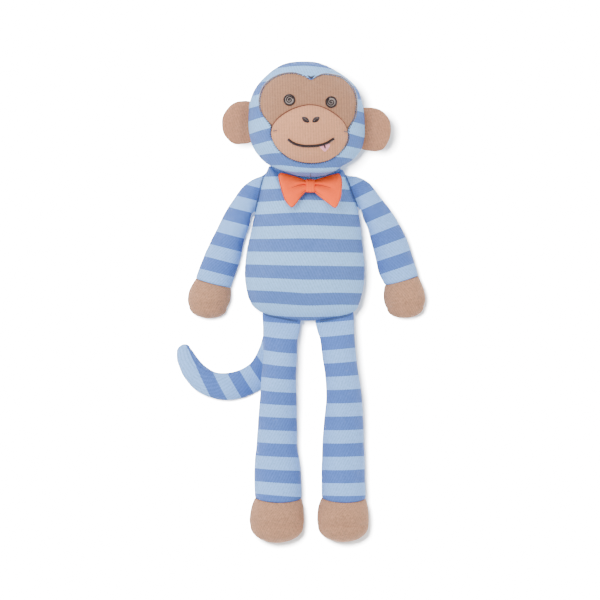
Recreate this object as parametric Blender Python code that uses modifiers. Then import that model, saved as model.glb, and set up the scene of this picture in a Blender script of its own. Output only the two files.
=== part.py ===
"""Knitted, stuffed toy monkey, lying on its back.

Frame: metres, +Z up (out of the belly and the face), +Y towards the top of
the head, +X to the toy's own left side.  The origin is under the middle of
the whole toy, on the plane it rests on.

The toy is a set of sewn fabric panels around polyester filling.  Each panel
is an open surface with a Solidify modifier, split from its neighbour at the
real seam, and each filling is a closed body inside its panels.  Every limb
is sewn flat at its root, so it hinges about that seam: there the panels come
together in a wedge and the moving body's origin lies on the seam's line.
"""
import math

import bmesh
import bpy
from mathutils import Vector

# ------------------------------------------------------------- dimensions
# Lengths in millimetres; MM turns them into metres.
MM = 0.001
FABRIC = 1.2            # thickness of a knitted panel with its seam allowance
SEAM = 0.15             # half of the gap between two panels at a seam
ROOM = 1.75             # filling stays this far inside the panels' outer faces
END_GAP = 0.55          # gap along a limb between its sleeve and its hand or foot

TORSO_SEAM_Z = 26.0     # height of the torso's side seams
TORSO_DEPTH = 26.5      # from the side seam to the belly
TORSO_BACK = 28.6       # from the side seam to the back, which lies flat where it would pass the floor
TORSO_MID = (3.0, 40.0)
HEAD_SEAM_Z = 36.0
HEAD_FRONT = 32.0
HEAD_BACK = 37.0
HEAD_MID = (5.0, 133.0)
MUZZLE_MID = (6.0, 122.5)
MUZZLE_BULGE = 8.5
NECK_Y = 95.4           # the neck seam
CHIN_TUCK = 9.0         # how far the neck is drawn up behind the chin
EAR_DEPTH = 3.4         # half of an ear's thickness
EYE_R = 3.7
STITCH_R = 0.45         # radius of a raised line of embroidery

# Outlines, anticlockwise as the toy is looked down on, in millimetres.
TORSO_OUTLINE = [(24, 94.8), (3.5, 95.2), (-17, 94.8), (-26.4, 92.3), (-29.7, 83.5), (-33.7, 66),
                 (-37, 52), (-40, 37), (-41.4, 19), (-37.5, 1.5), (-27.8, -8.2), (-10, -13.0),
                 (6.7, -14.4), (22, -12.8), (36.8, -8.2), (43.2, 2), (46.8, 19), (45.9, 37),
                 (43.8, 53), (41.6, 69), (36.9, 83), (31.8, 92.3)]
HEAD_OUTLINE = [(47.2, 128), (45.3, 147), (37.7, 161.5), (18.5, 174.5), (2.2, 177.8), (-14.5, 174.8),
                (-29.5, 163.2), (-37.2, 149.5), (-38.8, 128), (-34.8, 112), (-24, 97.5), (-9, 89),
                (7.4, 86.4), (22, 88.8), (35.5, 99.5), (44.6, 113.5)]
FACE_OUTLINE = [(39.9, 137), (41, 148), (38.5, 157.6), (30.3, 165.7), (18.7, 168.2), (12.4, 166.6),
                (7.4, 164.2), (2.2, 166.8), (-7, 169), (-18.5, 166.5), (-27.4, 159.1), (-30.6, 148.7),
                (-28.9, 139), (-22.6, 130), (-22.4, 122.5), (-17, 112.3), (-6, 104.6), (6.7, 102.1),
                (19.2, 103.9), (29.6, 110.6), (34.9, 120), (35.4, 127.5)]
BROW_OUTLINE = [(35.2, 129.4), (39.7, 137), (41, 148), (38.5, 157.6), (30.3, 165.7), (18.7, 168.2),
                (12.4, 166.6), (7.4, 164.2), (2.2, 166.8), (-7, 169), (-18.5, 166.5), (-27.4, 159.1),
                (-30.6, 148.7), (-28.9, 139.5), (-22.9, 131.6)]
MUZZLE_OUTLINE = [(35, 121), (32.8, 131), (26.5, 137.8), (16.5, 143.5), (5.9, 145.5), (-5.5, 142.8),
                  (-15.5, 137), (-21, 130.6), (-22.4, 122.5), (-17, 112.3), (-6, 104.6), (6.7, 102.1),
                  (19.2, 103.9), (29.6, 110.6)]
RIGHT_EAR = [(-38.6, 146.6), (-45, 148.4), (-51.2, 145.8), (-56.6, 139.4), (-58.3, 132),
             (-56.2, 124), (-50.3, 118), (-44.5, 116.8), (-38.8, 119.8), (-39.9, 133)]
LEFT_EAR = [(47.1, 114.4), (52, 111.4), (57.8, 111.4), (62.4, 113.8), (65.9, 120), (67, 128),
            (65.6, 134.8), (60.7, 140.6), (54, 143.2), (47.5, 141.8), (48.4, 128)]

# Limbs as ladders: the two edges of the limb at each station, from its root.
RIGHT_SLEEVE = [((-28.8, 93.6), (-36.0, 65.6)), ((-35.6, 91), (-37.4, 62)), ((-42.9, 85.8), (-37.9, 58.8)),
                ((-48.8, 76.9), (-39.9, 53.2)), ((-55.5, 66.6), (-42.5, 45.9)), ((-61.4, 54.7), (-44.4, 37)),
                ((-68.1, 41.4), (-46.6, 28.1)), ((-73.2, 29.6), (-49.6, 19.2)), ((-77.8, 17.3), (-51.6, 10.4))]
RIGHT_HAND = [((-77.8, 17.3), (-51.6, 10.4)), ((-81.7, 8.9), (-51.6, 4.4)), ((-83.6, 0.7), (-52.9, -1)),
              ((-81.2, -5.8), (-56.2, -6.6)), ((-75.4, -9.8), (-61.2, -10.1)), (-68, -11.8)]
LEFT_SLEEVE = [((34.6, 93.6), (44.0, 68.8)), ((41.8, 92.2), (45.6, 64.8)), ((50.3, 87.3), (46.6, 61.2)),
               ((57.7, 78), (49.4, 55.5)), ((64.4, 69.2), (51.8, 47.3)), ((71, 58.1), (54, 39.2)),
               ((76.9, 47.3), (56.2, 30.3)), ((82.1, 34), (58.1, 21.5)), ((86.7, 19.5), (61.9, 12.4))]
LEFT_HAND = [((86.7, 19.5), (61.9, 12.4)), ((90.3, 10.4), (61.4, 5.9)), ((92.3, 1.5), (62.5, -1)),
             ((89.9, -5.6), (65.8, -6.6)), ((84.2, -10), (71.2, -10.2)), (77.6, -11.8)]
RIGHT_LEG = [((-27.2, -11.0), (-0.6, -16.6)), ((-27, -18.4), (-1.4, -22.2)), ((-28.5, -28.1), (-2.6, -28.9)),
             ((-30.3, -41.4), (-3.7, -41.4)), ((-30.7, -57.7), (-4.4, -58.4)), ((-30.3, -72.5), (-4.4, -74)),
             ((-31.2, -87.3), (-4.4, -89.5)), ((-32.2, -103.6), (-4.1, -105.8)), ((-34, -118.4), (-1.5, -120.6)),
             ((-34.8, -131.7), (-0.4, -133.2)), ((-34.3, -144.8), (0.4, -145.4))]
RIGHT_FOOT = [((-34.3, -144.8), (0.4, -145.4)), ((-36.6, -151.7), (1.7, -151.7)), ((-38.2, -160.5), (2.1, -160.5)),
              ((-36.6, -169.4), (0, -169.8)), ((-31, -175.4), (-5.4, -175.6)), (-17.6, -177.9)]
LEFT_LEG = [((10.6, -16.6), (36.8, -11.0)), ((12, -22.2), (37.8, -19.2)), ((14.4, -28.9), (38.7, -28.9)),
            ((15.8, -41.4), (39.8, -41.4)), ((18.3, -57.7), (42.5, -57)), ((18.6, -72.5), (44.6, -72.5)),
            ((17, -87.3), (45.9, -88)), ((15.9, -103.6), (46.5, -104.3)), ((15.2, -118.4), (47.1, -119.1)),
            ((14.8, -131.7), (47.3, -131.7)), ((15, -144.8), (48, -145.4))]
LEFT_FOOT = [((15, -144.8), (48, -145.4)), ((12.9, -151.7), (49.6, -151.7)), ((12, -160.5), (50.3, -160.5)),
             ((13.5, -169.2), (48.8, -169.2)), ((18.6, -175), (43.6, -175)), (30.8, -177.4)]
TAIL = [((-15.5, -3.5), (1.5, -9.5)), ((-20, -12), (-1.5, -20)), ((-24.5, -22), (-6, -33)),
        ((-29.5, -32), (-12, -45)), ((-34, -39.6), (-20.5, -55.5)), ((-38.8, -45), (-28, -63)),
        ((-46.5, -49.6), (-39, -70.6)), ((-55.3, -52), (-51.5, -73.4)), ((-63.8, -51.2), (-65.5, -72.3)),
        ((-71.4, -46.6), (-77.8, -66.2)), ((-77, -40.4), (-87, -55.4)), ((-80.6, -35), (-92.2, -42.6)),
        (-86.3, -31.4)]
# Half thickness at each station.
SLEEVE_DEPTH = [1.25, 4.6, 8.0, 10.4, 11.6, 12.0, 12.0, 11.8, 11.2]
SLEEVE_MID_Z = [26.0, 25.0, 23.2, 20.6, 18.0, 15.6, 13.6, 12.4, 12.0]
HAND_DEPTH = [11.2, 13.2, 13.4, 11.8, 8.0]
LEG_DEPTH = [1.25, 5.0, 9.4, 12.8, 13.8, 14.0, 14.0, 14.4, 15.6, 16.4, 16.4]
LEG_MID_Z = [26.0, 26.0, 26.0, 25.8, 25.4, 22.6, 19.4, 17.2, 16.0, 16.2, 16.6]
FOOT_DEPTH = [16.4, 18.4, 19.0, 16.8, 11.0]
FOOT_MID_Z = 17.6
TAIL_DEPTH = [4.0, 4.6, 4.9, 5.0, 5.1, 5.4, 6.6, 7.6, 8.0, 7.8, 7.2, 5.6]
TAIL_MID_Z = [5.6, 5.2, 5.0, 5.0, 5.0, 5.2, 6.2, 7.2, 7.6, 7.4, 6.8, 6.0]
# The bow tie, from its right wing to its left wing: top and bottom edges.
BOW = [((-15.4, 94.2), (-7, 69.8)), ((-8.6, 93.2), (-3.4, 72.6)), ((-1.6, 90.8), (1.2, 78.2)),
       ((2.9, 88.2), (3.1, 82.6)), ((10.4, 88.2), (10.2, 82.6)), ((14.6, 90.8), (12.3, 78.2)),
       ((21.6, 93.2), (18.6, 72.6)), ((28.1, 94.2), (25, 69.4))]
BOW_DEPTH = [3.0, 3.5, 3.0, 1.6, 1.6, 3.0, 3.5, 3.0]
BOW_KNOT = (6.65, 85.4)
BOW_KNOT_R = (3.2, 5.0, 4.0)    # half width, half height, half depth

NAVY = (0.25, 0.37, 0.62)
SKY = (0.45, 0.57, 0.74)
TAN = (0.52, 0.33, 0.24)
MUZZLE = (0.62, 0.43, 0.33)
WHITE = (0.85, 0.85, 0.83)
CHARCOAL = (0.045, 0.03, 0.035)
PINK = (0.80, 0.28, 0.42)
CORAL = (0.84, 0.27, 0.14)

# ------------------------------------------------------------- the scene
for old in list(bpy.data.objects):
    bpy.data.objects.remove(old, do_unlink=True)

parts = bpy.data.collections.new("plush_monkey")
bpy.context.scene.collection.children.link(parts)


def material(name, colour, roughness):
    m = bpy.data.materials.new(name)
    m.use_nodes = True
    bsdf = m.node_tree.nodes["Principled BSDF"]
    bsdf.inputs["Base Color"].default_value = (*colour, 1.0)
    bsdf.inputs["Roughness"].default_value = roughness
    bsdf.inputs["Metallic"].default_value = 0.0
    m.diffuse_color = (*colour, 1.0)
    return m


# ------------------------------------------------------------- small maths
def smooth(a, b, x):
    t = min(1.0, max(0.0, (x - a) / (b - a)))
    return t * t * (3.0 - 2.0 * t)


def spline(points, t, closed):
    """Catmull-Rom through points; t runs over the point numbers."""
    n = len(points)
    i = int(math.floor(t))
    f = t - i
    if closed:
        p = [points[(i + k) % n] for k in (-1, 0, 1, 2)]
    else:
        p = [points[min(n - 1, max(0, i + k))] for k in (-1, 0, 1, 2)]
    out = []
    for a, b, c, d in zip(*p):
        out.append(0.5 * (2 * b + (c - a) * f + (2 * a - 5 * b + 4 * c - d) * f * f
                          + (3 * b - a - 3 * c + d) * f ** 3))
    return tuple(out)


class Outline:
    """A closed outline as a radius for each direction from its middle."""

    def __init__(self, points, middle, grow=0.0):
        self.middle = middle
        dense = [spline(points, k * len(points) / 480.0, True) for k in range(480)]
        self.polar = sorted((math.atan2(y - middle[1], x - middle[0]),
                             math.hypot(x - middle[0], y - middle[1]) + grow) for x, y in dense)

    def radius(self, angle):
        angle = math.atan2(math.sin(angle), math.cos(angle))
        p = self.polar
        low, high = 0, len(p)
        while low < high:
            mid = (low + high) // 2
            if p[mid][0] < angle:
                low = mid + 1
            else:
                high = mid
        a1, r1 = p[low % len(p)]
        a0, r0 = p[low - 1]
        span = (a1 - a0) % (2 * math.pi) or 1.0
        return r0 + (r1 - r0) * ((angle - a0) % (2 * math.pi)) / span

    def point(self, angle, ratio):
        r = self.radius(angle) * ratio
        return self.middle[0] + r * math.cos(angle), self.middle[1] + r * math.sin(angle)

    def ratio(self, x, y):
        dx, dy = x - self.middle[0], y - self.middle[1]
        if dx == 0.0 and dy == 0.0:
            return 0.0
        return math.hypot(dx, dy) / self.radius(math.atan2(dy, dx))


def along(points, values, x, y):
    """A station value at the place along the limb nearest to (x, y)."""
    mids = [((a[0] + b[0]) / 2, (a[1] + b[1]) / 2) for a, b in points]
    best = None
    for i in range(len(mids) - 1):
        ax, ay = mids[i]
        dx, dy = mids[i + 1][0] - ax, mids[i + 1][1] - ay
        t = ((x - ax) * dx + (y - ay) * dy) / (dx * dx + dy * dy)
        t = min(1.0, max(0.0, t))
        d = math.hypot(x - ax - t * dx, y - ay - t * dy)
        if best is None or d < best[0] - 1e-9:
            best = (d, values[i] + t * (values[i + 1] - values[i]))
    return best[1]


# ------------------------------------------------------------- the forms
TORSO = Outline(TORSO_OUTLINE, TORSO_MID)
HEAD = Outline(HEAD_OUTLINE, HEAD_MID)
FACE = Outline(FACE_OUTLINE, HEAD_MID)
MUZZLE_RIM = Outline(MUZZLE_OUTLINE, MUZZLE_MID)


def torso_rise(ratio, depth=TORSO_DEPTH):
    return depth * max(0.0, 1.0 - ratio ** 2.3) ** 0.6


def head_rise(ratio, depth):
    return depth * max(0.0, 1.0 - ratio ** 2.6) ** 0.5


def tuck(x, y, z):
    """Draw the neck up behind the chin, so the chin hangs over the bow."""
    low = smooth(118.0, 96.0, y)
    return x, y + CHIN_TUCK * low * (1.0 - smooth(38.0, 56.0, z)), z


def face_z(x, y):
    return HEAD_SEAM_Z + head_rise(HEAD.ratio(x, y), HEAD_FRONT)


def muzzle_z(x, y):
    r = min(1.0, MUZZLE_RIM.ratio(x, y))
    return face_z(x, y) + MUZZLE_BULGE * (1.0 - r ** 2.2) ** 0.75


# ------------------------------------------------------------- building
def add_object(name, mesh_data, mat, origin):
    """Link a mesh whose points are world millimetres, with its origin at origin."""
    mesh = bpy.data.meshes.new(name)
    mesh_data.to_mesh(mesh)
    mesh_data.free()
    for v in mesh.vertices:
        v.co = (Vector(v.co) - Vector(origin)) * MM
    mesh.shade_smooth()
    mesh.set_sharp_from_angle(angle=math.radians(50))
    mesh.materials.append(mat)
    obj = bpy.data.objects.new(name, mesh)
    obj.location = Vector(origin) * MM
    parts.objects.link(obj)
    return obj


def shell(name, surface, mat, origin, seam_z=None, side=1, floor=True):
    """Give an open surface (outward faces) its fabric thickness, inwards.

    The inner edge along a seam is kept on its own side of the seam plane.
    """
    mesh = bpy.data.meshes.new(name + "_surface")
    surface.to_mesh(mesh)
    surface.free()
    tmp = bpy.data.objects.new(name + "_surface", mesh)
    parts.objects.link(tmp)
    solid = tmp.modifiers.new("fabric", "SOLIDIFY")
    solid.thickness = FABRIC
    solid.offset = -1.0
    solid.use_even_offset = False
    graph = bpy.context.evaluated_depsgraph_get()
    done = bpy.data.meshes.new_from_object(tmp.evaluated_get(graph))
    bpy.data.objects.remove(tmp, do_unlink=True)
    bm = bmesh.new()
    bm.from_mesh(done)
    for v in bm.verts:
        if seam_z is not None:
            plane = seam_z(v.co.x, v.co.y) + side * SEAM
            if side * (v.co.z - plane) < 0.0:
                v.co.z = plane
        if floor and v.co.z < 0.0:
            v.co.z = 0.0
    bmesh.ops.recalc_face_normals(bm, faces=bm.faces)
    return add_object(name, bm, mat, origin)


def grid(rows, poles=(None, None), closed=False):
    """A surface through rows of points, with an optional pole at each end."""
    bm = bmesh.new()
    made = [[bm.verts.new(p) for p in row] for row in rows]
    n = len(rows[0])
    for r in range(len(made) - 1):
        for j in range(n if closed else n - 1):
            k = (j + 1) % n
            bm.faces.new((made[r][j], made[r][k], made[r + 1][k], made[r + 1][j]))
    for pole, row, flip in ((poles[0], made[0], True), (poles[1], made[-1], False)):
        if pole is None:
            continue
        tip = bm.verts.new(pole)
        for j in range(n if closed else n - 1):
            k = (j + 1) % n
            bm.faces.new((tip, row[k], row[j]) if flip else (row[j], row[k], tip))
    return bm


def face_outwards(bm, side):
    """Turn an open surface's faces to look up (side 1) or down (side -1)."""
    bm.normal_update()
    total = sum(f.normal.z * f.calc_area() for f in bm.faces)
    if total * side < 0.0:
        bmesh.ops.reverse_faces(bm, faces=bm.faces)


def dome_rows(outline, rise, base, side, segments, levels, grow=0.0, first=0.0):
    """Rings of a dome, from its middle out to its rim."""
    rows = []
    for level in levels:
        row = []
        for k in range(segments):
            a = 2 * math.pi * k / segments
            r = max(0.05, outline.radius(a) + grow) * level
            x, y = outline.middle[0] + r * math.cos(a), outline.middle[1] + r * math.sin(a)
            row.append((x, y, base + side * (SEAM + rise(min(1.0, level)))))
        rows.append(row)
    return rows


def dome(name, outline, rise, base, side, mat, origin, segments=26, warp=None, floor=True):
    levels = [math.sin(math.radians(d)) for d in (24, 46, 64, 78)] + [1.0]
    rows = dome_rows(outline, rise, base, side, segments, levels)
    pole = (outline.middle[0], outline.middle[1], base + side * (SEAM + rise(0.0)))
    if warp:
        rows = [[warp(*p) for p in row] for row in rows]
    if floor:
        rows = [[(x, y, max(0.0, z)) for x, y, z in row] for row in rows]
        pole = (pole[0], pole[1], max(0.0, pole[2]))
    bm = grid(rows, (pole, None), closed=True)
    face_outwards(bm, side)
    return shell(name, bm, mat, origin, lambda x, y: base, side, floor)


def filling(name, rows, poles, mat, origin, closed=True):
    bm = grid(rows, poles, closed)
    bmesh.ops.recalc_face_normals(bm, faces=bm.faces)
    if bm.calc_volume(signed=True) < 0.0:
        bmesh.ops.reverse_faces(bm, faces=bm.faces)
    return add_object(name, bm, mat, origin)


def section(a, b, mid_z, depth, side, steps, power=1.0, squeeze=0.0):
    """Half of a limb's section: from edge a over the middle to edge b."""
    cx, cy = (a[0] + b[0]) / 2, (a[1] + b[1]) / 2
    hx, hy = (a[0] - b[0]) / 2, (a[1] - b[1]) / 2
    half = math.hypot(hx, hy)
    k = max(0.2, half - squeeze) / half
    row = []
    for j in range(steps + 1):
        t = math.pi * j / steps
        s = math.sin(t) if 0 < j < steps else 0.0
        row.append((cx + hx * k * math.cos(t), cy + hy * k * math.cos(t),
                    max(0.0, mid_z + side * (SEAM + depth * s ** power))))
    return row


def moved_end(rails, gap, which):
    """Draw one end of a ladder back along the limb by gap."""
    rails = [list(r) for r in rails]
    i, j = (0, 1) if which == "first" else (-1, -2)
    if len(rails[i]) == 2 and not isinstance(rails[i][0], (int, float)):
        for s in (0, 1):
            p, q = Vector(rails[i][s]), Vector(rails[j][s])
            d = (q - p).normalized() * gap
            rails[i][s] = (p.x + d.x, p.y + d.y)
    return [tuple(r) for r in rails]


def limb_panel(name, rails, mid_z, depth, side, mat, origin, steps=8):
    """The upper (side 1) or lower (side -1) panel of a stuffed limb."""
    stations = [r for r in rails if isinstance(r[0], tuple)]
    tip = rails[-1] if not isinstance(rails[-1][0], tuple) else None
    rows = [section(a, b, z, d, side, steps) for (a, b), z, d in zip(stations, mid_z, depth)]
    pole = (tip[0], tip[1], mid_z[-1] + side * SEAM) if tip else None
    bm = grid(rows, (None, pole))
    face_outwards(bm, side)
    return shell(name, bm, mat, origin, lambda x, y: along(stations, mid_z, x, y), side)


def limb_filling(name, rails, mid_z, depth, mat, origin, start=1, steps=8):
    """One closed body of filling inside a limb's panels."""
    stations = [r for r in rails if isinstance(r[0], tuple)]
    tip = rails[-1] if not isinstance(rails[-1][0], tuple) else None
    rows, lows = [], []
    last_one = len(stations) - (1 if tip else 0)
    for n, ((a, b), z, d) in enumerate(zip(stations, mid_z, depth)):
        if n < start or n >= last_one:
            continue
        cx, cy = (a[0] + b[0]) / 2, (a[1] + b[1]) / 2
        hx, hy = (a[0] - b[0]) / 2, (a[1] - b[1]) / 2
        half = math.hypot(hx, hy)
        end = n == start or n >= last_one - 1
        k = (half - ROOM - (2.2 if end else 0.9)) / half
        inner = max(0.5, d - ROOM - (1.0 if end and d > 6.0 else 0.35))
        row = []
        for j in range(2 * steps):
            t = math.pi * j / steps
            row.append((cx + hx * k * math.cos(t), cy + hy * k * math.cos(t),
                        max(ROOM + 0.3, z + inner * math.sin(t))))
        rows.append(row)
        lows.append((cx, cy, z))
    first = lows[0]
    if tip:
        last = (lows[-1][0] + (tip[0] - lows[-1][0]) * 0.45, lows[-1][1] + (tip[1] - lows[-1][1]) * 0.45, lows[-1][2])
    else:
        last = lows[-1]
    return filling(name, rows, (first, last), mat, origin)


def thread(name, points, radius, mat, origin, cyclic=False):
    """A raised line of embroidery: a bevelled curve with filled ends."""
    curve = bpy.data.curves.new(name, "CURVE")
    curve.dimensions = "3D"
    curve.bevel_depth = radius
    curve.bevel_resolution = 1
    curve.use_fill_caps = True
    line = curve.splines.new("POLY")
    line.points.add(len(points) - 1)
    for p, q in zip(line.points, points):
        p.co = (q[0], q[1], q[2], 1.0)
    tmp = bpy.data.objects.new(name + "_line", curve)
    parts.objects.link(tmp)
    graph = bpy.context.evaluated_depsgraph_get()
    done = bpy.data.meshes.new_from_object(tmp.evaluated_get(graph))
    bpy.data.objects.remove(tmp, do_unlink=True)
    bm = bmesh.new()
    bm.from_mesh(done)
    bmesh.ops.remove_doubles(bm, verts=bm.verts, dist=0.001)
    bmesh.ops.recalc_face_normals(bm, faces=bm.faces)
    return add_object(name, bm, mat, origin)


# ------------------------------------------------------------- materials
stripe_blue = material("knit_stripe_blue", SKY, 0.95)
stripe_deep = material("knit_stripe_deep", NAVY, 0.95)
knit_tan = material("knit_tan", TAN, 0.95)
knit_muzzle = material("knit_muzzle", MUZZLE, 0.95)
fill_white = material("polyester_fill", WHITE, 1.0)
thread_dark = material("thread_charcoal", CHARCOAL, 0.6)
thread_pink = material("thread_pink", PINK, 0.6)
woven_coral = material("woven_coral", CORAL, 0.85)

# Where each moving body turns: on the seam that holds it.
NECK = (4.0, NECK_Y, 30.0)
RIGHT_SHOULDER = (-32.4, 79.6, TORSO_SEAM_Z)
LEFT_SHOULDER = (39.3, 81.2, TORSO_SEAM_Z)
RIGHT_HIP = (-13.9, -13.8, TORSO_SEAM_Z)
LEFT_HIP = (23.7, -13.8, TORSO_SEAM_Z)
TAIL_ROOT = (-7.0, -5.0, 6.0)
RIGHT_EAR_ROOT = (-39.4, 133.0, HEAD_SEAM_Z)
LEFT_EAR_ROOT = (48.0, 128.0, HEAD_SEAM_Z)
BOW_TACK = (BOW_KNOT[0], BOW_KNOT[1], 44.6)

# ------------------------------------------------------------- torso
ZERO = (0.0, 0.0, 0.0)
dome("torso_front_panel", TORSO, torso_rise, TORSO_SEAM_Z, 1, stripe_blue, ZERO, 28)
dome("torso_back_panel", TORSO, lambda r: torso_rise(r, TORSO_BACK), TORSO_SEAM_Z, -1, stripe_deep, ZERO, 28)


def stuffed_dome(name, outline, rise_up, rise_down, base, mat, origin, segments, warp=None, extra=None):
    """One closed body of filling behind two domes."""
    rows = []
    ups = [math.sin(math.radians(d)) for d in (24, 46, 64, 77)]
    for side, levels, rise in ((1, ups, rise_up), (0, [0.955], None), (-1, ups[::-1], rise_down)):
        for level in levels:
            row = []
            for k in range(segments):
                a = 2 * math.pi * k / segments
                r = (outline.radius(a) - ROOM - 0.4) * level
                x, y = outline.middle[0] + r * math.cos(a), outline.middle[1] + r * math.sin(a)
                z = base
                if side:
                    z += side * max(0.6, rise(level) - ROOM - (0.9 if side > 0 else 0.4))
                    if side > 0 and extra:
                        z += extra(x, y)
                z = max(ROOM, z)
                row.append(warp(x, y, z) if warp else (x, y, z))
            rows.append(row)
    top_z = base + rise_up(0.0) - ROOM - 0.5
    top = (outline.middle[0], outline.middle[1], top_z + (extra(*outline.middle) if extra else 0.0))
    bottom = (outline.middle[0], outline.middle[1], max(ROOM, base - rise_down(0.0) + ROOM + 0.5))
    return filling(name, rows, (top, bottom), mat, origin)


stuffed_dome("torso_stuffing", TORSO, torso_rise, torso_rise, TORSO_SEAM_Z, fill_white, ZERO, 28)

# ------------------------------------------------------------- head
dome("head_back_hood", HEAD, lambda r: head_rise(r, HEAD_BACK), HEAD_SEAM_Z, -1, stripe_deep, NECK, 28, warp=tuck)


def hood_front():
    """The striped front of the hood: from the face's edge out to the head seam."""
    segments = 36
    rows = []
    for step in (0.0, 0.3, 0.6, 0.84, 1.0):
        row = []
        for k in range(segments):
            a = 2 * math.pi * k / segments
            inner = (FACE.radius(a) + 0.35) / HEAD.radius(a)
            low = math.asin(min(1.0, inner))
            ratio = math.sin(low + (math.pi / 2 - low) * step) if step < 1.0 else 1.0
            x, y = HEAD.point(a, ratio)
            row.append(tuck(x, y, HEAD_SEAM_Z + SEAM + head_rise(ratio, HEAD_FRONT)))
        rows.append(row)
    bm = grid(rows, closed=True)
    face_outwards(bm, 1)
    return shell("head_front_hood", bm, stripe_blue, NECK, lambda x, y: HEAD_SEAM_Z, 1)


hood_front()


def face_panel():
    """The upper face, with its two brow lobes, down to the muzzle's seam."""
    steps = 22
    top = [spline(BROW_OUTLINE, (len(BROW_OUTLINE) - 1) * k / steps, False) for k in range(steps + 1)]
    rows = [[], [], [], []]
    for k, (x, y) in enumerate(top):
        # straight across to the muzzle's rim, in the direction of its middle
        a = math.atan2(y - MUZZLE_MID[1], x - MUZZLE_MID[0])
        low = MUZZLE_RIM.radius(a) + 0.45
        high = math.hypot(x - MUZZLE_MID[0], y - MUZZLE_MID[1])
        high = max(high - 0.15, low + 0.9)
        for n, t in enumerate((0.0, 0.34, 0.68, 1.0)):
            r = low + (high - low) * t
            px, py = MUZZLE_MID[0] + r * math.cos(a), MUZZLE_MID[1] + r * math.sin(a)
            rows[n].append((px, py, face_z(px, py) + SEAM))
    bm = grid(rows)
    face_outwards(bm, 1)
    return shell("face_panel", bm, knit_tan, NECK)


face_panel()


def muzzle_panel():
    """The domed muzzle, from its crescent seam down to the chin."""
    segments = 26
    rows = []
    for level in (0.3, 0.56, 0.78, 0.93, 1.0):
        row = []
        for k in range(segments):
            a = 2 * math.pi * k / segments
            r = (MUZZLE_RIM.radius(a) - 0.15) * level
            x, y = MUZZLE_MID[0] + r * math.cos(a), MUZZLE_MID[1] + r * math.sin(a)
            row.append((x, y, muzzle_z(x, y) + SEAM))
        rows.append(row)
    bm = grid(rows, ((MUZZLE_MID[0], MUZZLE_MID[1], muzzle_z(*MUZZLE_MID) + SEAM), None), closed=True)
    face_outwards(bm, 1)
    return shell("muzzle_panel", bm, knit_muzzle, NECK)


muzzle_panel()


def muzzle_fill(x, y):
    r = MUZZLE_RIM.ratio(x, y)
    return 0.0 if r >= 0.86 else MUZZLE_BULGE * 0.72 * (1.0 - (r / 0.86) ** 2) ** 0.9


stuffed_dome("head_stuffing", HEAD, lambda r: head_rise(r, HEAD_FRONT), lambda r: head_rise(r, HEAD_BACK),
             HEAD_SEAM_Z, fill_white, NECK, 28, warp=tuck, extra=muzzle_fill)

# ------------------------------------------------------------- the face's embroidery
LIFT = 0.35 + STITCH_R


def eye(name, x, y, turn):
    """One line of thread that winds in from the rim of the eye to its middle, never touching itself."""
    points = []
    for k in range(57):
        t = k / 56.0
        a = turn + t * 2 * math.pi * 3.0
        r = EYE_R - (EYE_R - 0.55) * t
        px, py = x + r * math.cos(a), y + r * math.sin(a)
        points.append((px, py, face_z(px, py) + LIFT + 0.15))
    return thread(name, points, 0.34, thread_dark, NECK)


eye("right_eye_embroidery", -8.6, 149.1, 0.3)
eye("left_eye_embroidery", 22.3, 147.5, 0.3)


def on_muzzle(points, lift):
    return [(x, y, muzzle_z(x, y) + SEAM + lift) for x, y in points]


def nostril(name, x, y, slope):
    points = [(x + 2.7 * t, y + slope * 1.5 * t) for t in (-1.0, -0.5, 0.0, 0.5, 1.0)]
    return thread(name, on_muzzle(points, 1.2), 0.85, thread_dark, NECK)


nostril("right_nostril_embroidery", 3.2, 134.6, -1.0)
nostril("left_nostril_embroidery", 11.2, 134.6, 1.0)

MOUTH = [(-9.8, 120.1), (-5.2, 116.9), (0.7, 115.2), (6.7, 114.9), (13.3, 115.5), (19.2, 117.3), (24.7, 120.7)]
mouth_line = [spline(MOUTH, (len(MOUTH) - 1) * k / 14.0, False) for k in range(15)]
thread("mouth_embroidery", on_muzzle(mouth_line, 0.85), 0.5, thread_dark, NECK)


def tongue():
    """A small satin-stitched tongue just under the mouth line."""
    x0, y0, wide, high = 17.9, 112.6, 3.4, 2.3
    rows = []
    for lift, size in ((0.45, 0.0), (0.45, 0.62), (0.45, 1.0), (1.0, 1.0), (1.3, 0.62)):
        row = []
        for k in range(14):
            a = 2 * math.pi * k / 14
            x, y = x0 + wide * size * math.cos(a), y0 + high * size * math.sin(a) + 0.16 * (x0 - 17.9)
            row.append((x, y, muzzle_z(x, y) + SEAM + lift))
        if size:
            rows.append(row)
    z0 = muzzle_z(x0, y0) + SEAM
    return filling("tongue_embroidery", rows, ((x0, y0, z0 + 0.45), (x0, y0, z0 + 1.35)), thread_pink, NECK)


tongue()

# ------------------------------------------------------------- ears
for side_name, points, root, mid in (("right", RIGHT_EAR, RIGHT_EAR_ROOT, (-47.5, 132.6)),
                                     ("left", LEFT_EAR, LEFT_EAR_ROOT, (56.5, 127.4))):
    rim = Outline(points, mid)
    for which, side in (("front", 1), ("back", -1)):
        rows = []
        for level in (0.4, 0.72, 0.9, 1.0):
            row = []
            for k in range(20):
                a = 2 * math.pi * k / 20
                x, y = rim.point(a, level)
                out = abs(x - root[0])
                depth = EAR_DEPTH * (0.42 + 0.58 * smooth(0.0, 7.0, out))
                row.append((x, y, HEAD_SEAM_Z + side * (SEAM + depth * (1.0 - level ** 3) ** 0.5 + 0.0)))
            rows.append(row)
        bm = grid(rows, ((mid[0], mid[1], HEAD_SEAM_Z + side * (SEAM + EAR_DEPTH)), None), closed=True)
        face_outwards(bm, side)
        shell(side_name + "_ear_" + which, bm, knit_tan, root, lambda x, y: HEAD_SEAM_Z, side)

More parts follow.
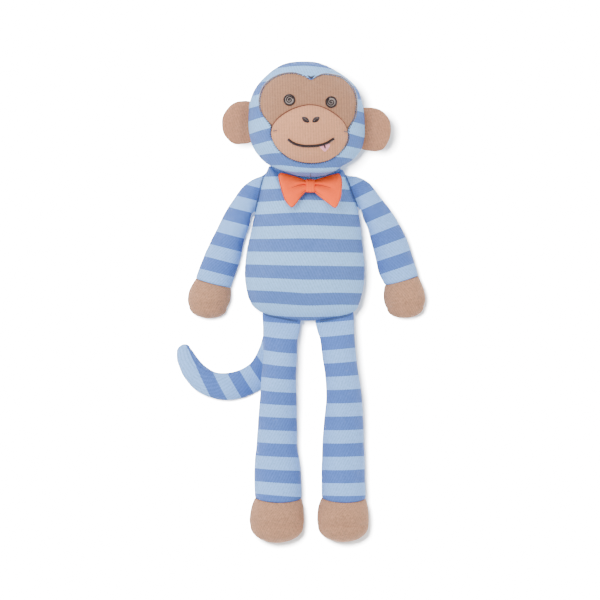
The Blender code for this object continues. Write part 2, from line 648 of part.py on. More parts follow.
# ------------------------------------------------------------- arms
for side_name, sleeve, hand, root in (("right", RIGHT_SLEEVE, RIGHT_HAND, RIGHT_SHOULDER),
                                      ("left", LEFT_SLEEVE, LEFT_HAND, LEFT_SHOULDER)):
    cut = moved_end(sleeve, END_GAP, "last")
    hand_z = [12.0, 12.6, 13.0, 12.4, 10.6]
    for which, side in (("front", 1), ("back", -1)):
        limb_panel(side_name + "_sleeve_" + which, cut, SLEEVE_MID_Z, SLEEVE_DEPTH, side,
                   stripe_blue if side > 0 else stripe_deep, root)
        limb_panel(side_name + "_hand_" + which, hand, hand_z, HAND_DEPTH, side, knit_tan, root)
    limb_filling(side_name + "_arm_stuffing", sleeve + hand[1:], SLEEVE_MID_Z + hand_z[1:],
                 SLEEVE_DEPTH + HAND_DEPTH[1:], fill_white, root, start=2)

# ------------------------------------------------------------- legs
for side_name, leg, foot, root in (("right", RIGHT_LEG, RIGHT_FOOT, RIGHT_HIP),
                                   ("left", LEFT_LEG, LEFT_FOOT, LEFT_HIP)):
    cut = moved_end(leg, END_GAP, "last")
    foot_z = [16.6, 17.4, 17.6, 16.4, 13.6]
    for which, side in (("front", 1), ("back", -1)):
        limb_panel(side_name + "_leg_" + which, cut, LEG_MID_Z, LEG_DEPTH, side,
                   stripe_blue if side > 0 else stripe_deep, root)
        limb_panel(side_name + "_foot_" + which, foot, foot_z, FOOT_DEPTH, side, knit_tan, root)
    limb_filling(side_name + "_leg_stuffing", leg + foot[1:], LEG_MID_Z + foot_z[1:],
                 LEG_DEPTH + FOOT_DEPTH[1:], fill_white, root, start=2)

# ------------------------------------------------------------- tail
limb_panel("tail_upper_panel", TAIL, TAIL_MID_Z, TAIL_DEPTH, 1, stripe_blue, TAIL_ROOT, steps=6)
limb_panel("tail_lower_panel", TAIL, TAIL_MID_Z, TAIL_DEPTH, -1, stripe_deep, TAIL_ROOT, steps=6)
limb_filling("tail_stuffing", TAIL, TAIL_MID_Z, TAIL_DEPTH, fill_white, TAIL_ROOT, start=0, steps=6)

# ------------------------------------------------------------- bow tie


def bow_mid_z(y):
    return 54.4 - 0.64 * (y - 70.0)


def bow_loop():
    """A folded length of cloth, drawn in at the middle by the knot."""
    rows = []
    for (top, bottom), d in zip(BOW, BOW_DEPTH):
        row = []
        for k in range(12):
            t = 2 * math.pi * k / 12
            f = 0.5 + 0.5 * math.cos(t)
            x = bottom[0] + (top[0] - bottom[0]) * f
            y = bottom[1] + (top[1] - bottom[1]) * f
            row.append((x, y, bow_mid_z(y) + d * math.sin(t)))
        rows.append(row)
    ends = []
    for (top, bottom), out in ((BOW[0], -0.6), (BOW[-1], 0.6)):
        x, y = (top[0] + bottom[0]) / 2, (top[1] + bottom[1]) / 2
        ends.append((x + out, y, bow_mid_z(y)))
    return filling("bow_tie_loop", rows, tuple(ends), woven_coral, BOW_TACK)


def bow_knot():
    """The band round the bow's middle: a short ring, open at both sides."""
    half, high, deep = BOW_KNOT_R
    wall = 1.1
    rows = []
    for x, grow in ((-half, 0.0), (half, 0.0), (half, -wall), (-half, -wall)):
        row = []
        for k in range(14):
            t = 2 * math.pi * k / 14
            y = BOW_KNOT[1] + (high + grow) * math.cos(t)
            row.append((BOW_KNOT[0] + x, y, bow_mid_z(y) + (deep + grow) * math.sin(t)))
        rows.append(row)
    bm = bmesh.new()
    made = [[bm.verts.new(p) for p in row] for row in rows]
    for r in range(4):
        s = (r + 1) % 4
        for j in range(14):
            k = (j + 1) % 14
            bm.faces.new((made[r][j], made[r][k], made[s][k], made[s][j]))
    bmesh.ops.recalc_face_normals(bm, faces=bm.faces)
    return add_object("bow_tie_knot", bm, woven_coral, BOW_TACK)


bow_loop()
bow_knot()
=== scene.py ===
"""Looks of the knitted, stuffed toy monkey: fine cloth skins over the CAD frame."""
import math

import bpy
import numpy as np
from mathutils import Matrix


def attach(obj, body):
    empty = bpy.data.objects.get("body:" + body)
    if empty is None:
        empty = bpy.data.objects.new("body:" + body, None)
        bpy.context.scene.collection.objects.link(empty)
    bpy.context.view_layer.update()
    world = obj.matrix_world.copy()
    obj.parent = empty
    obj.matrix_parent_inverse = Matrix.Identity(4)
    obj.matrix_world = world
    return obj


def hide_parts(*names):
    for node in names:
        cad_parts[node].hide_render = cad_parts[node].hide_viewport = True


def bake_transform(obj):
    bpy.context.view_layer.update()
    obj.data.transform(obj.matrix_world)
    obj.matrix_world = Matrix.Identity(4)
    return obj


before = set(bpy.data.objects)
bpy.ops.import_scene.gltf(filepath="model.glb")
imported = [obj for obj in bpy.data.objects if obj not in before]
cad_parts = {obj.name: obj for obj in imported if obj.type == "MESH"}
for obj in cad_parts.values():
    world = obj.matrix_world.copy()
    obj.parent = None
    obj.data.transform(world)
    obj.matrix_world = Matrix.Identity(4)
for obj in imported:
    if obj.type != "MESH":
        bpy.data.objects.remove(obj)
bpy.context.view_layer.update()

# Lengths in millimetres, in the frame of the CAD: +Z out of the belly, +Y to
# the top of the head, +X to the toy's own left.
MM = 0.001
CLOTH = 0.9             # thickness of the knitted cloth
TORSO_SEAM_Z = 26.0
TORSO_DEPTH = 26.5
TORSO_BACK = 28.6
TORSO_MID = (3.0, 40.0)
HEAD_SEAM_Z = 36.0
HEAD_FRONT = 32.0
HEAD_BACK = 37.0
HEAD_MID = (5.0, 133.0)
MUZZLE_MID = (6.0, 122.5)
MUZZLE_BULGE = 8.5
CHIN_TUCK = 9.0
EAR_DEPTH = 3.4

# Outlines, anticlockwise as the toy is looked down on, in millimetres.
TORSO_OUTLINE = [(24, 94.8), (3.5, 95.2), (-17, 94.8), (-26.4, 92.3), (-29.7, 83.5), (-33.7, 66),
                 (-37, 52), (-40, 37), (-41.4, 19), (-37.5, 1.5), (-27.8, -8.2), (-10, -13.0),
                 (6.7, -14.4), (22, -12.8), (36.8, -8.2), (43.2, 2), (46.8, 19), (45.9, 37),
                 (43.8, 53), (41.6, 69), (36.9, 83), (31.8, 92.3)]
HEAD_OUTLINE = [(47.2, 128), (45.6, 147), (38.2, 161.9), (18.7, 174.9), (2.2, 178.1), (-14.8, 175.2),
                (-29.9, 163.6), (-37.6, 149.5), (-38.8, 128), (-34.6, 112), (-24.0, 98.0), (-9, 89),
                (7.4, 86.4), (22, 88.8), (35.7, 99.3), (45.1, 113.2)]
FACE_OUTLINE = [(39.9, 137), (41, 148), (38.5, 157.6), (30.3, 165.7), (18.7, 168.2), (12.4, 166.6),
                (7.4, 164.2), (2.2, 166.8), (-7, 169), (-18.5, 166.5), (-27.4, 159.1), (-30.6, 148.7),
                (-28.9, 139), (-22.6, 130), (-22.4, 122.5), (-17, 112.3), (-6, 104.6), (6.7, 102.1),
                (19.2, 103.9), (29.6, 110.6), (34.9, 120), (35.4, 127.5)]
BROW_OUTLINE = [(35.2, 129.4), (39.7, 137), (41, 148), (38.5, 157.6), (30.3, 165.7), (18.7, 168.2),
                (12.4, 166.6), (7.4, 164.2), (2.2, 166.8), (-7, 169), (-18.5, 166.5), (-27.4, 159.1),
                (-30.6, 148.7), (-28.9, 139.5), (-22.9, 131.6)]
MUZZLE_OUTLINE = [(35, 121), (32.8, 131), (26.5, 137.8), (16.5, 143.5), (5.9, 145.5), (-5.5, 142.8),
                  (-15.5, 137), (-21, 130.6), (-22.4, 122.5), (-17, 112.3), (-6, 104.6), (6.7, 102.1),
                  (19.2, 103.9), (29.6, 110.6)]
RIGHT_EAR = [(-38.6, 146.9), (-45, 148.8), (-51.5, 146.2), (-57.0, 139.7), (-58.8, 132),
             (-57.1, 123.8), (-51.0, 117.4), (-44.5, 116.4), (-38.8, 119.4), (-39.9, 133)]
LEFT_EAR = [(47.1, 114.4), (52, 111.4), (57.6, 111.6), (62.0, 114.2), (65.5, 120.4), (66.7, 128),
            (65.4, 135.0), (60.7, 141.0), (54, 143.6), (47.5, 142.4), (48.4, 128)]

# Limbs as ladders: the two edges of the limb at each station, from its root.
RIGHT_SLEEVE = [((-28.8, 93.6), (-36.0, 65.6)), ((-35.6, 91), (-37.4, 62)), ((-42.9, 85.8), (-37.9, 58.8)),
                ((-49.2, 77.2), (-39.6, 53.1)), ((-56.0, 66.8), (-42.2, 45.8)), ((-62.0, 54.9), (-44.0, 36.8)),
                ((-68.6, 41.6), (-46.2, 27.9)), ((-73.7, 29.8), (-49.2, 19.0)), ((-78.2, 17.6), (-51.6, 10.4))]
RIGHT_HAND = [((-78.2, 17.6), (-51.6, 10.4)), ((-82.8, 9.4), (-51.8, 4.5)), ((-84.3, 1.7), (-52.6, 0.3)),
              ((-83.0, -3.4), (-54.8, -4.4)), (-68.4, -12.1)]
LEFT_SLEEVE = [((34.6, 93.6), (44.0, 68.8)), ((42.0, 92.6), (45.4, 64.7)), ((50.8, 87.8), (46.3, 61.1)),
               ((58.2, 78.4), (48.9, 55.3)), ((65.2, 69.6), (51.2, 47.1)), ((72.1, 58.7), (53.4, 39.0)),
               ((77.9, 47.8), (55.7, 30.1)), ((82.6, 34.2), (57.6, 21.3)), ((86.9, 19.5), (61.7, 12.4))]
LEFT_HAND = [((86.9, 19.5), (61.7, 12.4)), ((91.0, 10.4), (60.9, 5.9)), ((92.4, 2.2), (61.4, -0.2)),
             ((91.0, -3.4), (63.4, -4.8)), (77.2, -12.0)]
RIGHT_LEG = [((-28.9, -10.6), (-0.6, -16.6)), ((-28.6, -18.4), (-1.4, -22.2)), ((-28.5, -28.1), (-2.6, -28.9)),
             ((-28.0, -41.4), (-3.0, -41.4)), ((-29.4, -57.7), (-3.7, -58.4)), ((-30.8, -72.5), (-3.2, -74)),
             ((-31.9, -87.3), (-2.8, -89.5)), ((-32.8, -103.6), (-2.7, -105.8)), ((-34.2, -118.4), (-0.9, -120.6)),
             ((-34.8, -131.7), (-0.1, -133.2)), ((-34.3, -144.8), (0.4, -145.4))]
RIGHT_FOOT = [((-34.3, -144.8), (0.4, -145.4)), ((-37.0, -151.7), (1.9, -151.7)), ((-38.5, -160.5), (2.4, -160.5)),
              ((-37.8, -166.0), (1.8, -166.0)), (-17.8, -178.2)]
LEFT_LEG = [((10.6, -16.6), (39.4, -10.4)), ((12, -22.2), (39.6, -19.2)), ((14.2, -28.9), (39.9, -28.9)),
            ((15.8, -41.4), (41.0, -41.4)), ((18.1, -57.7), (43.2, -57)), ((18.6, -72.5), (45.2, -72.5)),
            ((17, -87.3), (46.1, -88)), ((15.7, -103.6), (46.7, -104.3)), ((15.2, -118.4), (47.1, -119.1)),
            ((14.8, -131.7), (47.3, -131.7)), ((15, -144.8), (48, -145.4))]
LEFT_FOOT = [((15, -144.8), (48, -145.4)), ((12.5, -151.7), (49.7, -151.7)), ((11.6, -160.5), (50.4, -160.5)),
             ((12.3, -165.6), (50.0, -165.6)), (30.9, -177.6)]
TAIL = [((-15.5, -3.5), (1.5, -9.5)), ((-22, -12), (-1.5, -20)), ((-27.2, -21.5), (-6, -33)),
        ((-30.4, -32), (-12, -46)), ((-34.2, -40.0), (-20.5, -56.5)), ((-38.6, -45.8), (-28.4, -63.6)),
        ((-46.2, -50.2), (-39.3, -69.8)), ((-55.2, -52.2), (-51.8, -72.7)), ((-63.8, -51.6), (-65.5, -71.3)),
        ((-71.3, -47.1), (-77.4, -65.8)), ((-76.7, -41.2), (-86.5, -56.0)), ((-80.2, -36.0), (-91.8, -44.4)),
        ((-82.2, -33.8), (-92.4, -37.2)), (-87.8, -31.4)]
# Half thickness at each station.
SLEEVE_DEPTH = [1.25, 4.6, 8.0, 10.4, 11.6, 12.0, 12.0, 11.8, 11.2]
SLEEVE_MID_Z = [26.0, 25.0, 23.2, 20.6, 18.0, 15.6, 13.6, 12.4, 12.0]
HAND_DEPTH = [11.2, 13.2, 13.4, 11.8]
LEG_DEPTH = [1.25, 5.0, 9.4, 12.8, 13.8, 14.0, 14.0, 14.4, 15.6, 16.4, 16.4]
LEG_MID_Z = [26.0, 26.0, 26.0, 25.8, 25.4, 22.6, 19.4, 17.2, 16.0, 16.2, 16.6]
FOOT_DEPTH = [16.4, 18.4, 19.0, 16.8]
FOOT_MID_Z = 17.6
TAIL_DEPTH = [4.0, 4.6, 4.9, 5.0, 5.1, 5.4, 6.6, 7.6, 8.0, 7.8, 7.2, 6.0, 4.8]
TAIL_MID_Z = [5.6, 5.2, 5.0, 5.0, 5.0, 5.2, 6.2, 7.2, 7.6, 7.4, 6.8, 6.2, 5.8]
# The bow tie, from its right wing to its left wing: top and bottom edges.
BOW = [((-15.4, 94.2), (-7, 69.8)), ((-8.6, 93.2), (-3.4, 72.6)), ((-1.6, 90.8), (1.2, 78.2)),
       ((2.9, 88.2), (3.1, 82.6)), ((10.4, 88.2), (10.2, 82.6)), ((14.6, 90.8), (12.3, 78.2)),
       ((21.6, 93.2), (18.6, 72.6)), ((28.1, 94.2), (25, 69.4))]
BOW_DEPTH = [3.0, 3.5, 3.0, 1.6, 1.6, 3.0, 3.5, 3.0]
BOW_KNOT = (6.65, 85.4)
BOW_KNOT_R = (3.2, 5.0, 4.0)    # half width, half height, half depth

# Where the knitted stripes change colour: (number of the change, points on it
# in the plane of X and Y). Cloth is deep blue between an odd number and the next.
HOOD_BANDS = [
    (-0.6, [(2.2, 179)]),
    (0, [(-18.5, 171.3), (-8.1, 174), (2.2, 175.1), (12.6, 174.4), (22.9, 171.3)]),
    (1, [(-32.6, 160.8), (-22.5, 164.6), (37.9, 159), (44.3, 156.7)]),
    (2, [(-35.7, 150.6), (-28.9, 153.7), (40.2, 151), (45.9, 149.1)]),
    (3, [(-38, 143.9), (-30.8, 146.5), (41.5, 141.6), (46.6, 138.2)]),
    (4, [(-38.7, 132.1), (-28.9, 135.9), (40.2, 133.5), (46.8, 131)]),
    (5, [(-38, 122.6), (-22.5, 129.7), (35.1, 125.8), (46.8, 119.9)]),
    (6, [(-35.3, 114.4), (-22.1, 120.1), (33.7, 115.6), (44.7, 112)]),
    (7, [(-28.9, 108.4), (-18.3, 112.2), (30.3, 107), (39.4, 103.9)]),
    (7.08, [(-5.9, 104.3), (6.7, 101.8), (19.2, 103.3)]),
    (8, [(-17.2, 100.8), (-4.4, 98.4), (7.7, 97.8), (20, 98.2), (31.1, 99.7)]),
    (9, [(-6.7, 95.6), (7.4, 94.7), (22.2, 95.9)]),
]
HOOD_BACK_BANDS = [
    (0, [(-18.5, 171.3), (22.9, 171.3)]),
    (1, [(-32.6, 160.8), (44.3, 156.7), (5.9, 159.8)]),
    (2, [(-35.7, 150.6), (45.9, 149.1), (5.9, 150.9)]),
    (3, [(-38, 143.9), (46.6, 138.2), (5.2, 142)]),
    (4, [(-38.7, 132.1), (46.8, 131), (4.4, 132.4)]),
    (5, [(-38, 122.6), (46.8, 119.9), (4.4, 122.1)]),
    (6, [(-35.3, 114.4), (44.7, 112), (4.4, 113.2)]),
    (7, [(-28.9, 108.4), (39.4, 103.9), (5.2, 105.1)]),
    (8, [(-17.2, 100.8), (31.1, 99.7), (7.4, 98.8)]),
]
TORSO_BANDS = [
    (0, [(-28.1, 92.3), (4.4, 93.6), (33.3, 92.5)]),
    (1, [(-30.2, 82.8), (4.4, 84.3), (34.6, 82.8)]),
    (2, [(-32.7, 74.1), (4.9, 75.3), (39.9, 73.3)]),
    (3, [(-34, 63.4), (4.9, 66.3), (40.4, 63.8)]),
    (4, [(-34.6, 56.1), (4.9, 56.7), (42.8, 55.8)]),
    (5, [(-37.7, 46.2), (4.9, 46.5), (45.3, 45.9)]),
    (6, [(-39.3, 37.4), (4.9, 37.1), (45.7, 36.5)]),
    (7, [(-40.5, 27.9), (4.9, 27.1), (46.6, 26.6)]),
    (8, [(-40.5, 17.4), (1.5, 16.0), (46.6, 15.4)]),
    (9, [(-40.1, 9.1), (1.5, 5.8), (45.7, 5.5)]),
    (10, [(-36, -1.4), (4.9, -3.8), (42.8, -3.1)]),
    (11, [(-29, -9.0), (4.9, -10.6), (39.1, -9.5)]),
]
RIGHT_ARM_BANDS = [
    (1, [(-40.5, 86.6), (-30.2, 83.6)]),
    (2, [(-47.1, 78.6), (-32.7, 75.1)]),
    (3, [(-52.9, 69.5), (-33.7, 65)]),
    (4, [(-57, 60.9), (-38.5, 56.1)]),
    (5, [(-61.8, 51.8), (-42.2, 46.6)]),
    (6, [(-64.4, 41.8), (-45.1, 37)]),
    (7, [(-68.8, 32.9), (-47.3, 27.6)]),
    (8, [(-73.2, 24.3), (-50.3, 18.5)]),
]
LEFT_ARM_BANDS = [
    (1, [(37.5, 84.4), (45.7, 89.8)]),
    (2, [(41.2, 76.6), (52.7, 83.2)]),
    (3, [(45.7, 68.7), (60.2, 74.5)]),
    (4, [(49, 58.4), (65.5, 65.8)]),
    (5, [(52.4, 48.9), (70.9, 56.4)]),
    (6, [(55.3, 39.9), (74.7, 46.6)]),
    (7, [(57.6, 30.2), (76.2, 35.8)]),
    (8, [(59.3, 20.9), (76.2, 25.9)]),
]
RIGHT_LEG_BANDS = [
    (0, [(-30.3, -14.2), (-17, -15.1), (-3.7, -15.4)]),
    (1, [(-30.3, -25.9), (-17, -28.2), (-3.7, -28.9)]),
    (2, [(-30.3, -34.7), (-17, -37.2), (-3.7, -37.9)]),
    (3, [(-30.3, -44.9), (-17, -47.8), (-3.7, -48.3)]),
    (4, [(-30.3, -55.1), (-17, -57.2), (-3.7, -57.5)]),
    (5, [(-30.3, -65.2), (-17, -67), (-3.7, -67.4)]),
    (6, [(-30.3, -75.6), (-17, -76.5), (-3.7, -76.8)]),
    (7, [(-30.3, -84.5), (-17, -85.4), (-3.7, -85.7)]),
    (8, [(-30.3, -94.8), (-17, -95.7), (-3.7, -96)]),
    (9, [(-30.3, -103.7), (-17, -104.6), (-3.7, -104.9)]),
    (10, [(-30.3, -114.1), (-17, -115), (-3.7, -115.3)]),
    (11, [(-30.3, -123.7), (-17, -124.6), (-3.7, -124.9)]),
    (12, [(-30.3, -133.3), (-17, -134.2), (-3.7, -134.5)]),
    (13, [(-30.3, -141.5), (-17, -143.4), (-3.7, -144.5)]),
]
LEFT_LEG_BANDS = [
    (0, [(14.8, -14.9), (30.3, -14.4), (45.1, -12.9)]),
    (1, [(14.8, -27.2), (30.3, -25.1), (45.1, -22.9)]),
    (2, [(14.8, -36.2), (30.3, -35.1), (45.1, -33.4)]),
    (3, [(14.8, -45.3), (30.3, -44.7), (45.1, -43.2)]),
    (4, [(14.8, -56.4), (30.3, -55.8), (45.1, -54.3)]),
    (5, [(14.8, -64.4), (30.3, -64.7), (45.1, -63.9)]),
    (6, [(14.8, -75.5), (30.3, -75.8), (45.1, -75)]),
    (7, [(14.8, -84.3), (30.3, -84.6), (45.1, -83.9)]),
    (8, [(14.8, -95.4), (30.3, -95.7), (45.1, -95)]),
    (9, [(14.8, -104.3), (30.3, -104.6), (45.1, -103.9)]),
    (10, [(14.8, -114.7), (30.3, -115), (45.1, -114.2)]),
    (11, [(14.8, -124.3), (30.3, -124.6), (45.1, -123.8)]),
    (12, [(14.8, -134.6), (30.3, -134.9), (45.1, -134.2)]),
    (13, [(14.8, -142.6), (30.3, -143.6), (45.1, -143.2)]),
]
TAIL_BANDS = [
    (1, [(-83.8, -32.7), (-77.8, -46.8), (-73.7, -57.6), (-68.4, -68.5)]),
    (2, [(-64.4, -51.8), (-54.7, -72.1)]),
    (3, [(-54, -52.5), (-43.6, -70.7)]),
    (4, [(-45.1, -50.7), (-34.8, -66.6)]),
    (5, [(-38.5, -45.1), (-30.3, -58.1)]),
    (6, [(-33.7, -39.2), (-28.5, -46.6)]),
    (7, [(-28.1, -31.1), (-18.5, -42.9)]),
    (8, [(-21.5, -22.2), (-9.6, -35.5)]),
]


# ------------------------------------------------------------- maths on arrays
def smooth(a, b, x):
    t = np.clip((np.asarray(x, float) - a) / (b - a), 0.0, 1.0)
    return t * t * (3.0 - 2.0 * t)


def spline(points, t, closed=False):
    """Catmull-Rom through points at each t, which runs over the point numbers."""
    p = np.asarray(points, float)
    if p.ndim == 1:
        p = p[:, None]
    n = len(p)
    t = np.atleast_1d(np.asarray(t, float))
    i = np.floor(t).astype(int)
    f = (t - i)[:, None]

    def at(k):
        return p[(i + k) % n] if closed else p[np.clip(i + k, 0, n - 1)]

    a, b, c, d = at(-1), at(0), at(1), at(2)
    return 0.5 * (2 * b + (c - a) * f + (2 * a - 5 * b + 4 * c - d) * f * f + (3 * b - a - 3 * c + d) * f ** 3)


def even_spline(points, step, closed=False):
    """Points at even spacing along a spline."""
    n = len(points) if closed else len(points) - 1
    dense = spline(points, np.linspace(0, n, n * 60 + 1), closed)
    if not closed:
        dense[-1] = np.asarray(points[-1], float)
    run = np.concatenate([[0], np.cumsum(np.linalg.norm(np.diff(dense, axis=0), axis=1))])
    count = max(4, int(round(run[-1] / step)))
    want = np.linspace(0, run[-1], count + 1)
    if closed:
        want = want[:-1]
    return np.stack([np.interp(want, run, dense[:, k]) for k in range(dense.shape[1])], axis=1)


class Outline:
    """A closed outline as a radius for each direction from its middle."""

    def __init__(self, points, middle):
        self.middle = middle
        dense = spline(points, np.arange(1440) * len(points) / 1440.0, True)
        angle = np.arctan2(dense[:, 1] - middle[1], dense[:, 0] - middle[0])
        order = np.argsort(angle)
        self.a = angle[order]
        self.r = np.hypot(dense[:, 0] - middle[0], dense[:, 1] - middle[1])[order]

    def radius(self, angle):
        return np.interp(angle, self.a, self.r, period=2 * math.pi)

    def ratio(self, x, y):
        dx, dy = np.asarray(x, float) - self.middle[0], np.asarray(y, float) - self.middle[1]
        return np.hypot(dx, dy) / self.radius(np.arctan2(dy, dx))


class Bands:
    """A smooth field through the numbered colour changes (a thin plate)."""

    def __init__(self, rows):
        at = np.array([p for _, pts in rows for p in pts], float)
        value = np.array([k for k, pts in rows for _ in pts], float)
        self.at, n = at, len(at)
        kernel = self.kernel(at[:, 0], at[:, 1]) + np.eye(n) * 0.6
        flat = np.column_stack([np.ones(n), at])
        system = np.block([[kernel, flat], [flat.T, np.zeros((3, 3))]])
        self.w = np.linalg.solve(system, np.concatenate([value, np.zeros(3)]))

    def kernel(self, x, y):
        d2 = (x[:, None] - self.at[None, :, 0]) ** 2 + (y[:, None] - self.at[None, :, 1]) ** 2
        return 0.5 * d2 * np.log(d2 + 1e-9) * 1e-3

    def __call__(self, x, y):
        shape = np.shape(x)
        x, y = np.ravel(x).astype(float), np.ravel(y).astype(float)
        out = self.kernel(x, y) @ self.w[:-3] + self.w[-3] + self.w[-2] * x + self.w[-1] * y
        return out.reshape(shape)


def lump(p, size, seed):
    """Smooth value noise from -1 to 1 at the points p, with cells of that size."""
    q = p / size + seed * 17.31
    i = np.floor(q).astype(np.int64)
    f = q - i
    f = f * f * (3 - 2 * f)
    out = np.zeros(len(p))
    for dx in (0, 1):
        for dy in (0, 1):
            for dz in (0, 1):
                h = ((i[:, 0] + dx) * 73856093) ^ ((i[:, 1] + dy) * 19349663) ^ ((i[:, 2] + dz) * 83492791) ^ (seed * 2654435)
                h = (h ^ (h >> 13)) * 1274126177
                value = ((h ^ (h >> 16)) & 0xFFFF) / 32767.5 - 1.0
                weight = ((f[:, 0] if dx else 1 - f[:, 0]) * (f[:, 1] if dy else 1 - f[:, 1])
                          * (f[:, 2] if dz else 1 - f[:, 2]))
                out += weight * value
    return out


# ------------------------------------------------------------- the forms
TORSO_VISIBLE = [(30.6, 98.6), (22, 96.8), (14, 95.4), (3.5, 95.2), (-8, 95.8), (-17, 98.2), (-23.2, 101.4),
                 (-25.6, 97.4), (-27.8, 92.6), (-30.4, 83.5), (-34.2, 66), (-37.4, 52), (-40.5, 37), (-41.9, 19),
                 (-38.2, 1.0), (-29.4, -7.9), (-10, -13.0), (6.7, -14.4), (22, -12.8), (39.0, -7.8), (44.4, 2),
                 (47.2, 19), (46.4, 37), (44.4, 53), (42.1, 69), (37.2, 83), (33.2, 93.2)]
TORSO = Outline(TORSO_VISIBLE, TORSO_MID)
HEAD = Outline(HEAD_OUTLINE, HEAD_MID)
FACE = Outline(FACE_OUTLINE, HEAD_MID)
MUZZLE_RIM = Outline(MUZZLE_OUTLINE, MUZZLE_MID)


def torso_rise(ratio, depth=TORSO_DEPTH):
    return depth * np.clip(1.0 - ratio ** 2.3, 0.0, 1.0) ** 0.6


def head_rise(ratio, depth):
    return depth * np.clip(1.0 - ratio ** 2.6, 0.0, 1.0) ** 0.5


def tuck(x, y, z):
    """Draw the neck up behind the chin, so the chin hangs over the bow."""
    middle = 1.0 - 0.7 * smooth(12.0, 36.0, np.abs(x - 7.0))
    return x, y + CHIN_TUCK * smooth(118.0, 96.0, y) * (1.0 - smooth(38.0, 56.0, z)) * middle, z


def face_z(x, y):
    return HEAD_SEAM_Z + head_rise(HEAD.ratio(x, y), HEAD_FRONT)


def muzzle_z(x, y):
    r = np.minimum(1.0, MUZZLE_RIM.ratio(x, y))
    return face_z(x, y) + MUZZLE_BULGE * (1.0 - r ** 2.2) ** 0.75


def spread(rise, radius):
    """For a dome: how far along the cloth each ratio is from its middle, over the ratio."""
    r = np.sin(np.linspace(0, math.pi / 2, 400))
    z = rise(r)
    run = np.concatenate([[0], np.cumsum(np.hypot(np.diff(r) * radius, np.diff(z)))])
    return lambda ratio: np.interp(ratio, r, run) / np.maximum(ratio * radius, 1e-6)


# ------------------------------------------------------------- meshes
def normals_of(p, faces):
    """Vertex normals of quads; a triangle repeats its last corner."""
    a, b, c, d = (p[faces[:, k]] for k in range(4))
    n = np.cross(c - a, d - b)
    out = np.zeros_like(p)
    for k in range(4):
        np.add.at(out, faces[:, k], n)
    length = np.linalg.norm(out, axis=1, keepdims=True)
    return out / np.maximum(length, 1e-12)


def flipped(faces):
    """The same faces seen from behind; a triangle keeps its repeated corner last."""
    turned = faces[:, ::-1]
    return np.where(turned[:, :1] == turned[:, 1:2], np.roll(turned, -2, axis=1), turned)


def grid_faces(rows, cols, wrap):
    r, c = np.meshgrid(np.arange(rows - 1), np.arange(cols if wrap else cols - 1), indexing="ij")
    r, c = r.ravel(), c.ravel()
    k = (c + 1) % cols
    return np.stack([r * cols + c, r * cols + k, (r + 1) * cols + k, (r + 1) * cols + c], axis=1)


def pole_faces(pole, start, cols, wrap, last):
    c = np.arange(cols if wrap else cols - 1)
    k = (c + 1) % cols
    if last:
        return np.stack([start + c, start + k, np.full_like(c, pole), np.full_like(c, pole)], axis=1)
    return np.stack([start + k, start + c, np.full_like(c, pole), np.full_like(c, pole)], axis=1)


def make_object(name, p, faces, mat, uv=None, phase=None):
    mesh = bpy.data.meshes.new(name)
    tri = faces[:, 2] == faces[:, 3]
    mesh.from_pydata((p * MM).tolist(), [], [f[:3] if t else f for f, t in zip(faces.tolist(), tri)])
    loops = np.empty(len(mesh.loops), np.int32)
    mesh.loops.foreach_get("vertex_index", loops)
    layer = mesh.uv_layers.new(name="knit")
    if uv is None:
        uv = p[:, :2]
    layer.data.foreach_set("uv", uv[loops].astype(np.float32).ravel())
    values = mesh.attributes.new("phase", "FLOAT", "POINT")
    values.data.foreach_set("value", (np.zeros(len(p)) if phase is None else phase).astype(np.float32))
    mesh.shade_smooth()
    mesh.materials.append(mat)
    mesh.update()
    obj = bpy.data.objects.new(name, mesh)
    bpy.context.scene.collection.objects.link(obj)
    return obj


def skin(name, grid, mat, uv, phase, wrap=False, first=None, last=None, side=1,
         thick=CLOTH, lumps=(0.35, 0.12), floor=True, seed=1, pucker=None):
    """A panel of cloth with real thickness, from a grid of points on its outer face.

    uv and phase give a value for each grid point; first and last are poles,
    each (point, uv, phase). pucker is how far to draw each point inwards.
    """
    rows, cols, _ = grid.shape
    p = grid.reshape(-1, 3)
    uv, phase = uv.reshape(-1, 2), np.asarray(phase, float).ravel()
    draw = np.zeros(len(p)) if pucker is None else pucker.ravel()
    faces = [grid_faces(rows, cols, wrap)]
    for pole, is_last in ((first, False), (last, True)):
        if pole is not None:
            faces.append(pole_faces(len(p), (rows - 1) * cols if is_last else 0, cols, wrap, is_last))
            p = np.vstack([p, np.array(pole[0], float)[None]])
            uv = np.vstack([uv, np.array(pole[1], float)[None]])
            phase = np.append(phase, pole[2])
            draw = np.append(draw, 0.0)
    faces = np.vstack(faces)
    n = normals_of(p, faces)
    if n[:, 2].mean() * side < 0:
        faces = flipped(faces)
        n = -n
    p = p + n * (lumps[0] * lump(p, 17.0, seed) + lumps[1] * lump(p, 5.5, seed + 3) - draw)[:, None]
    if floor:
        p[:, 2] = np.maximum(p[:, 2], 0.02)
    n = normals_of(p, faces)
    inner = p - n * thick
    if floor:
        inner[:, 2] = np.maximum(inner[:, 2], 0.12)
    count = len(p)
    # the rim: every edge that only one face has
    real = [(0, 1), (1, 2), (2, 3), (3, 0)]
    edges = np.vstack([faces[:, list(e)] for e in real])
    edges = edges[edges[:, 0] != edges[:, 1]]
    key = np.sort(edges, axis=1) @ np.array([count, 1])
    _, where, number = np.unique(key, return_index=True, return_counts=True)
    rim = edges[where[number == 1]]
    walls = np.stack([rim[:, 1], rim[:, 0], rim[:, 0] + count, rim[:, 1] + count], axis=1)
    every = np.vstack([faces, flipped(faces) + count, walls])
    return make_object(name, np.vstack([p, inner]), every, mat, np.vstack([uv, uv]), np.concatenate([phase, phase]))


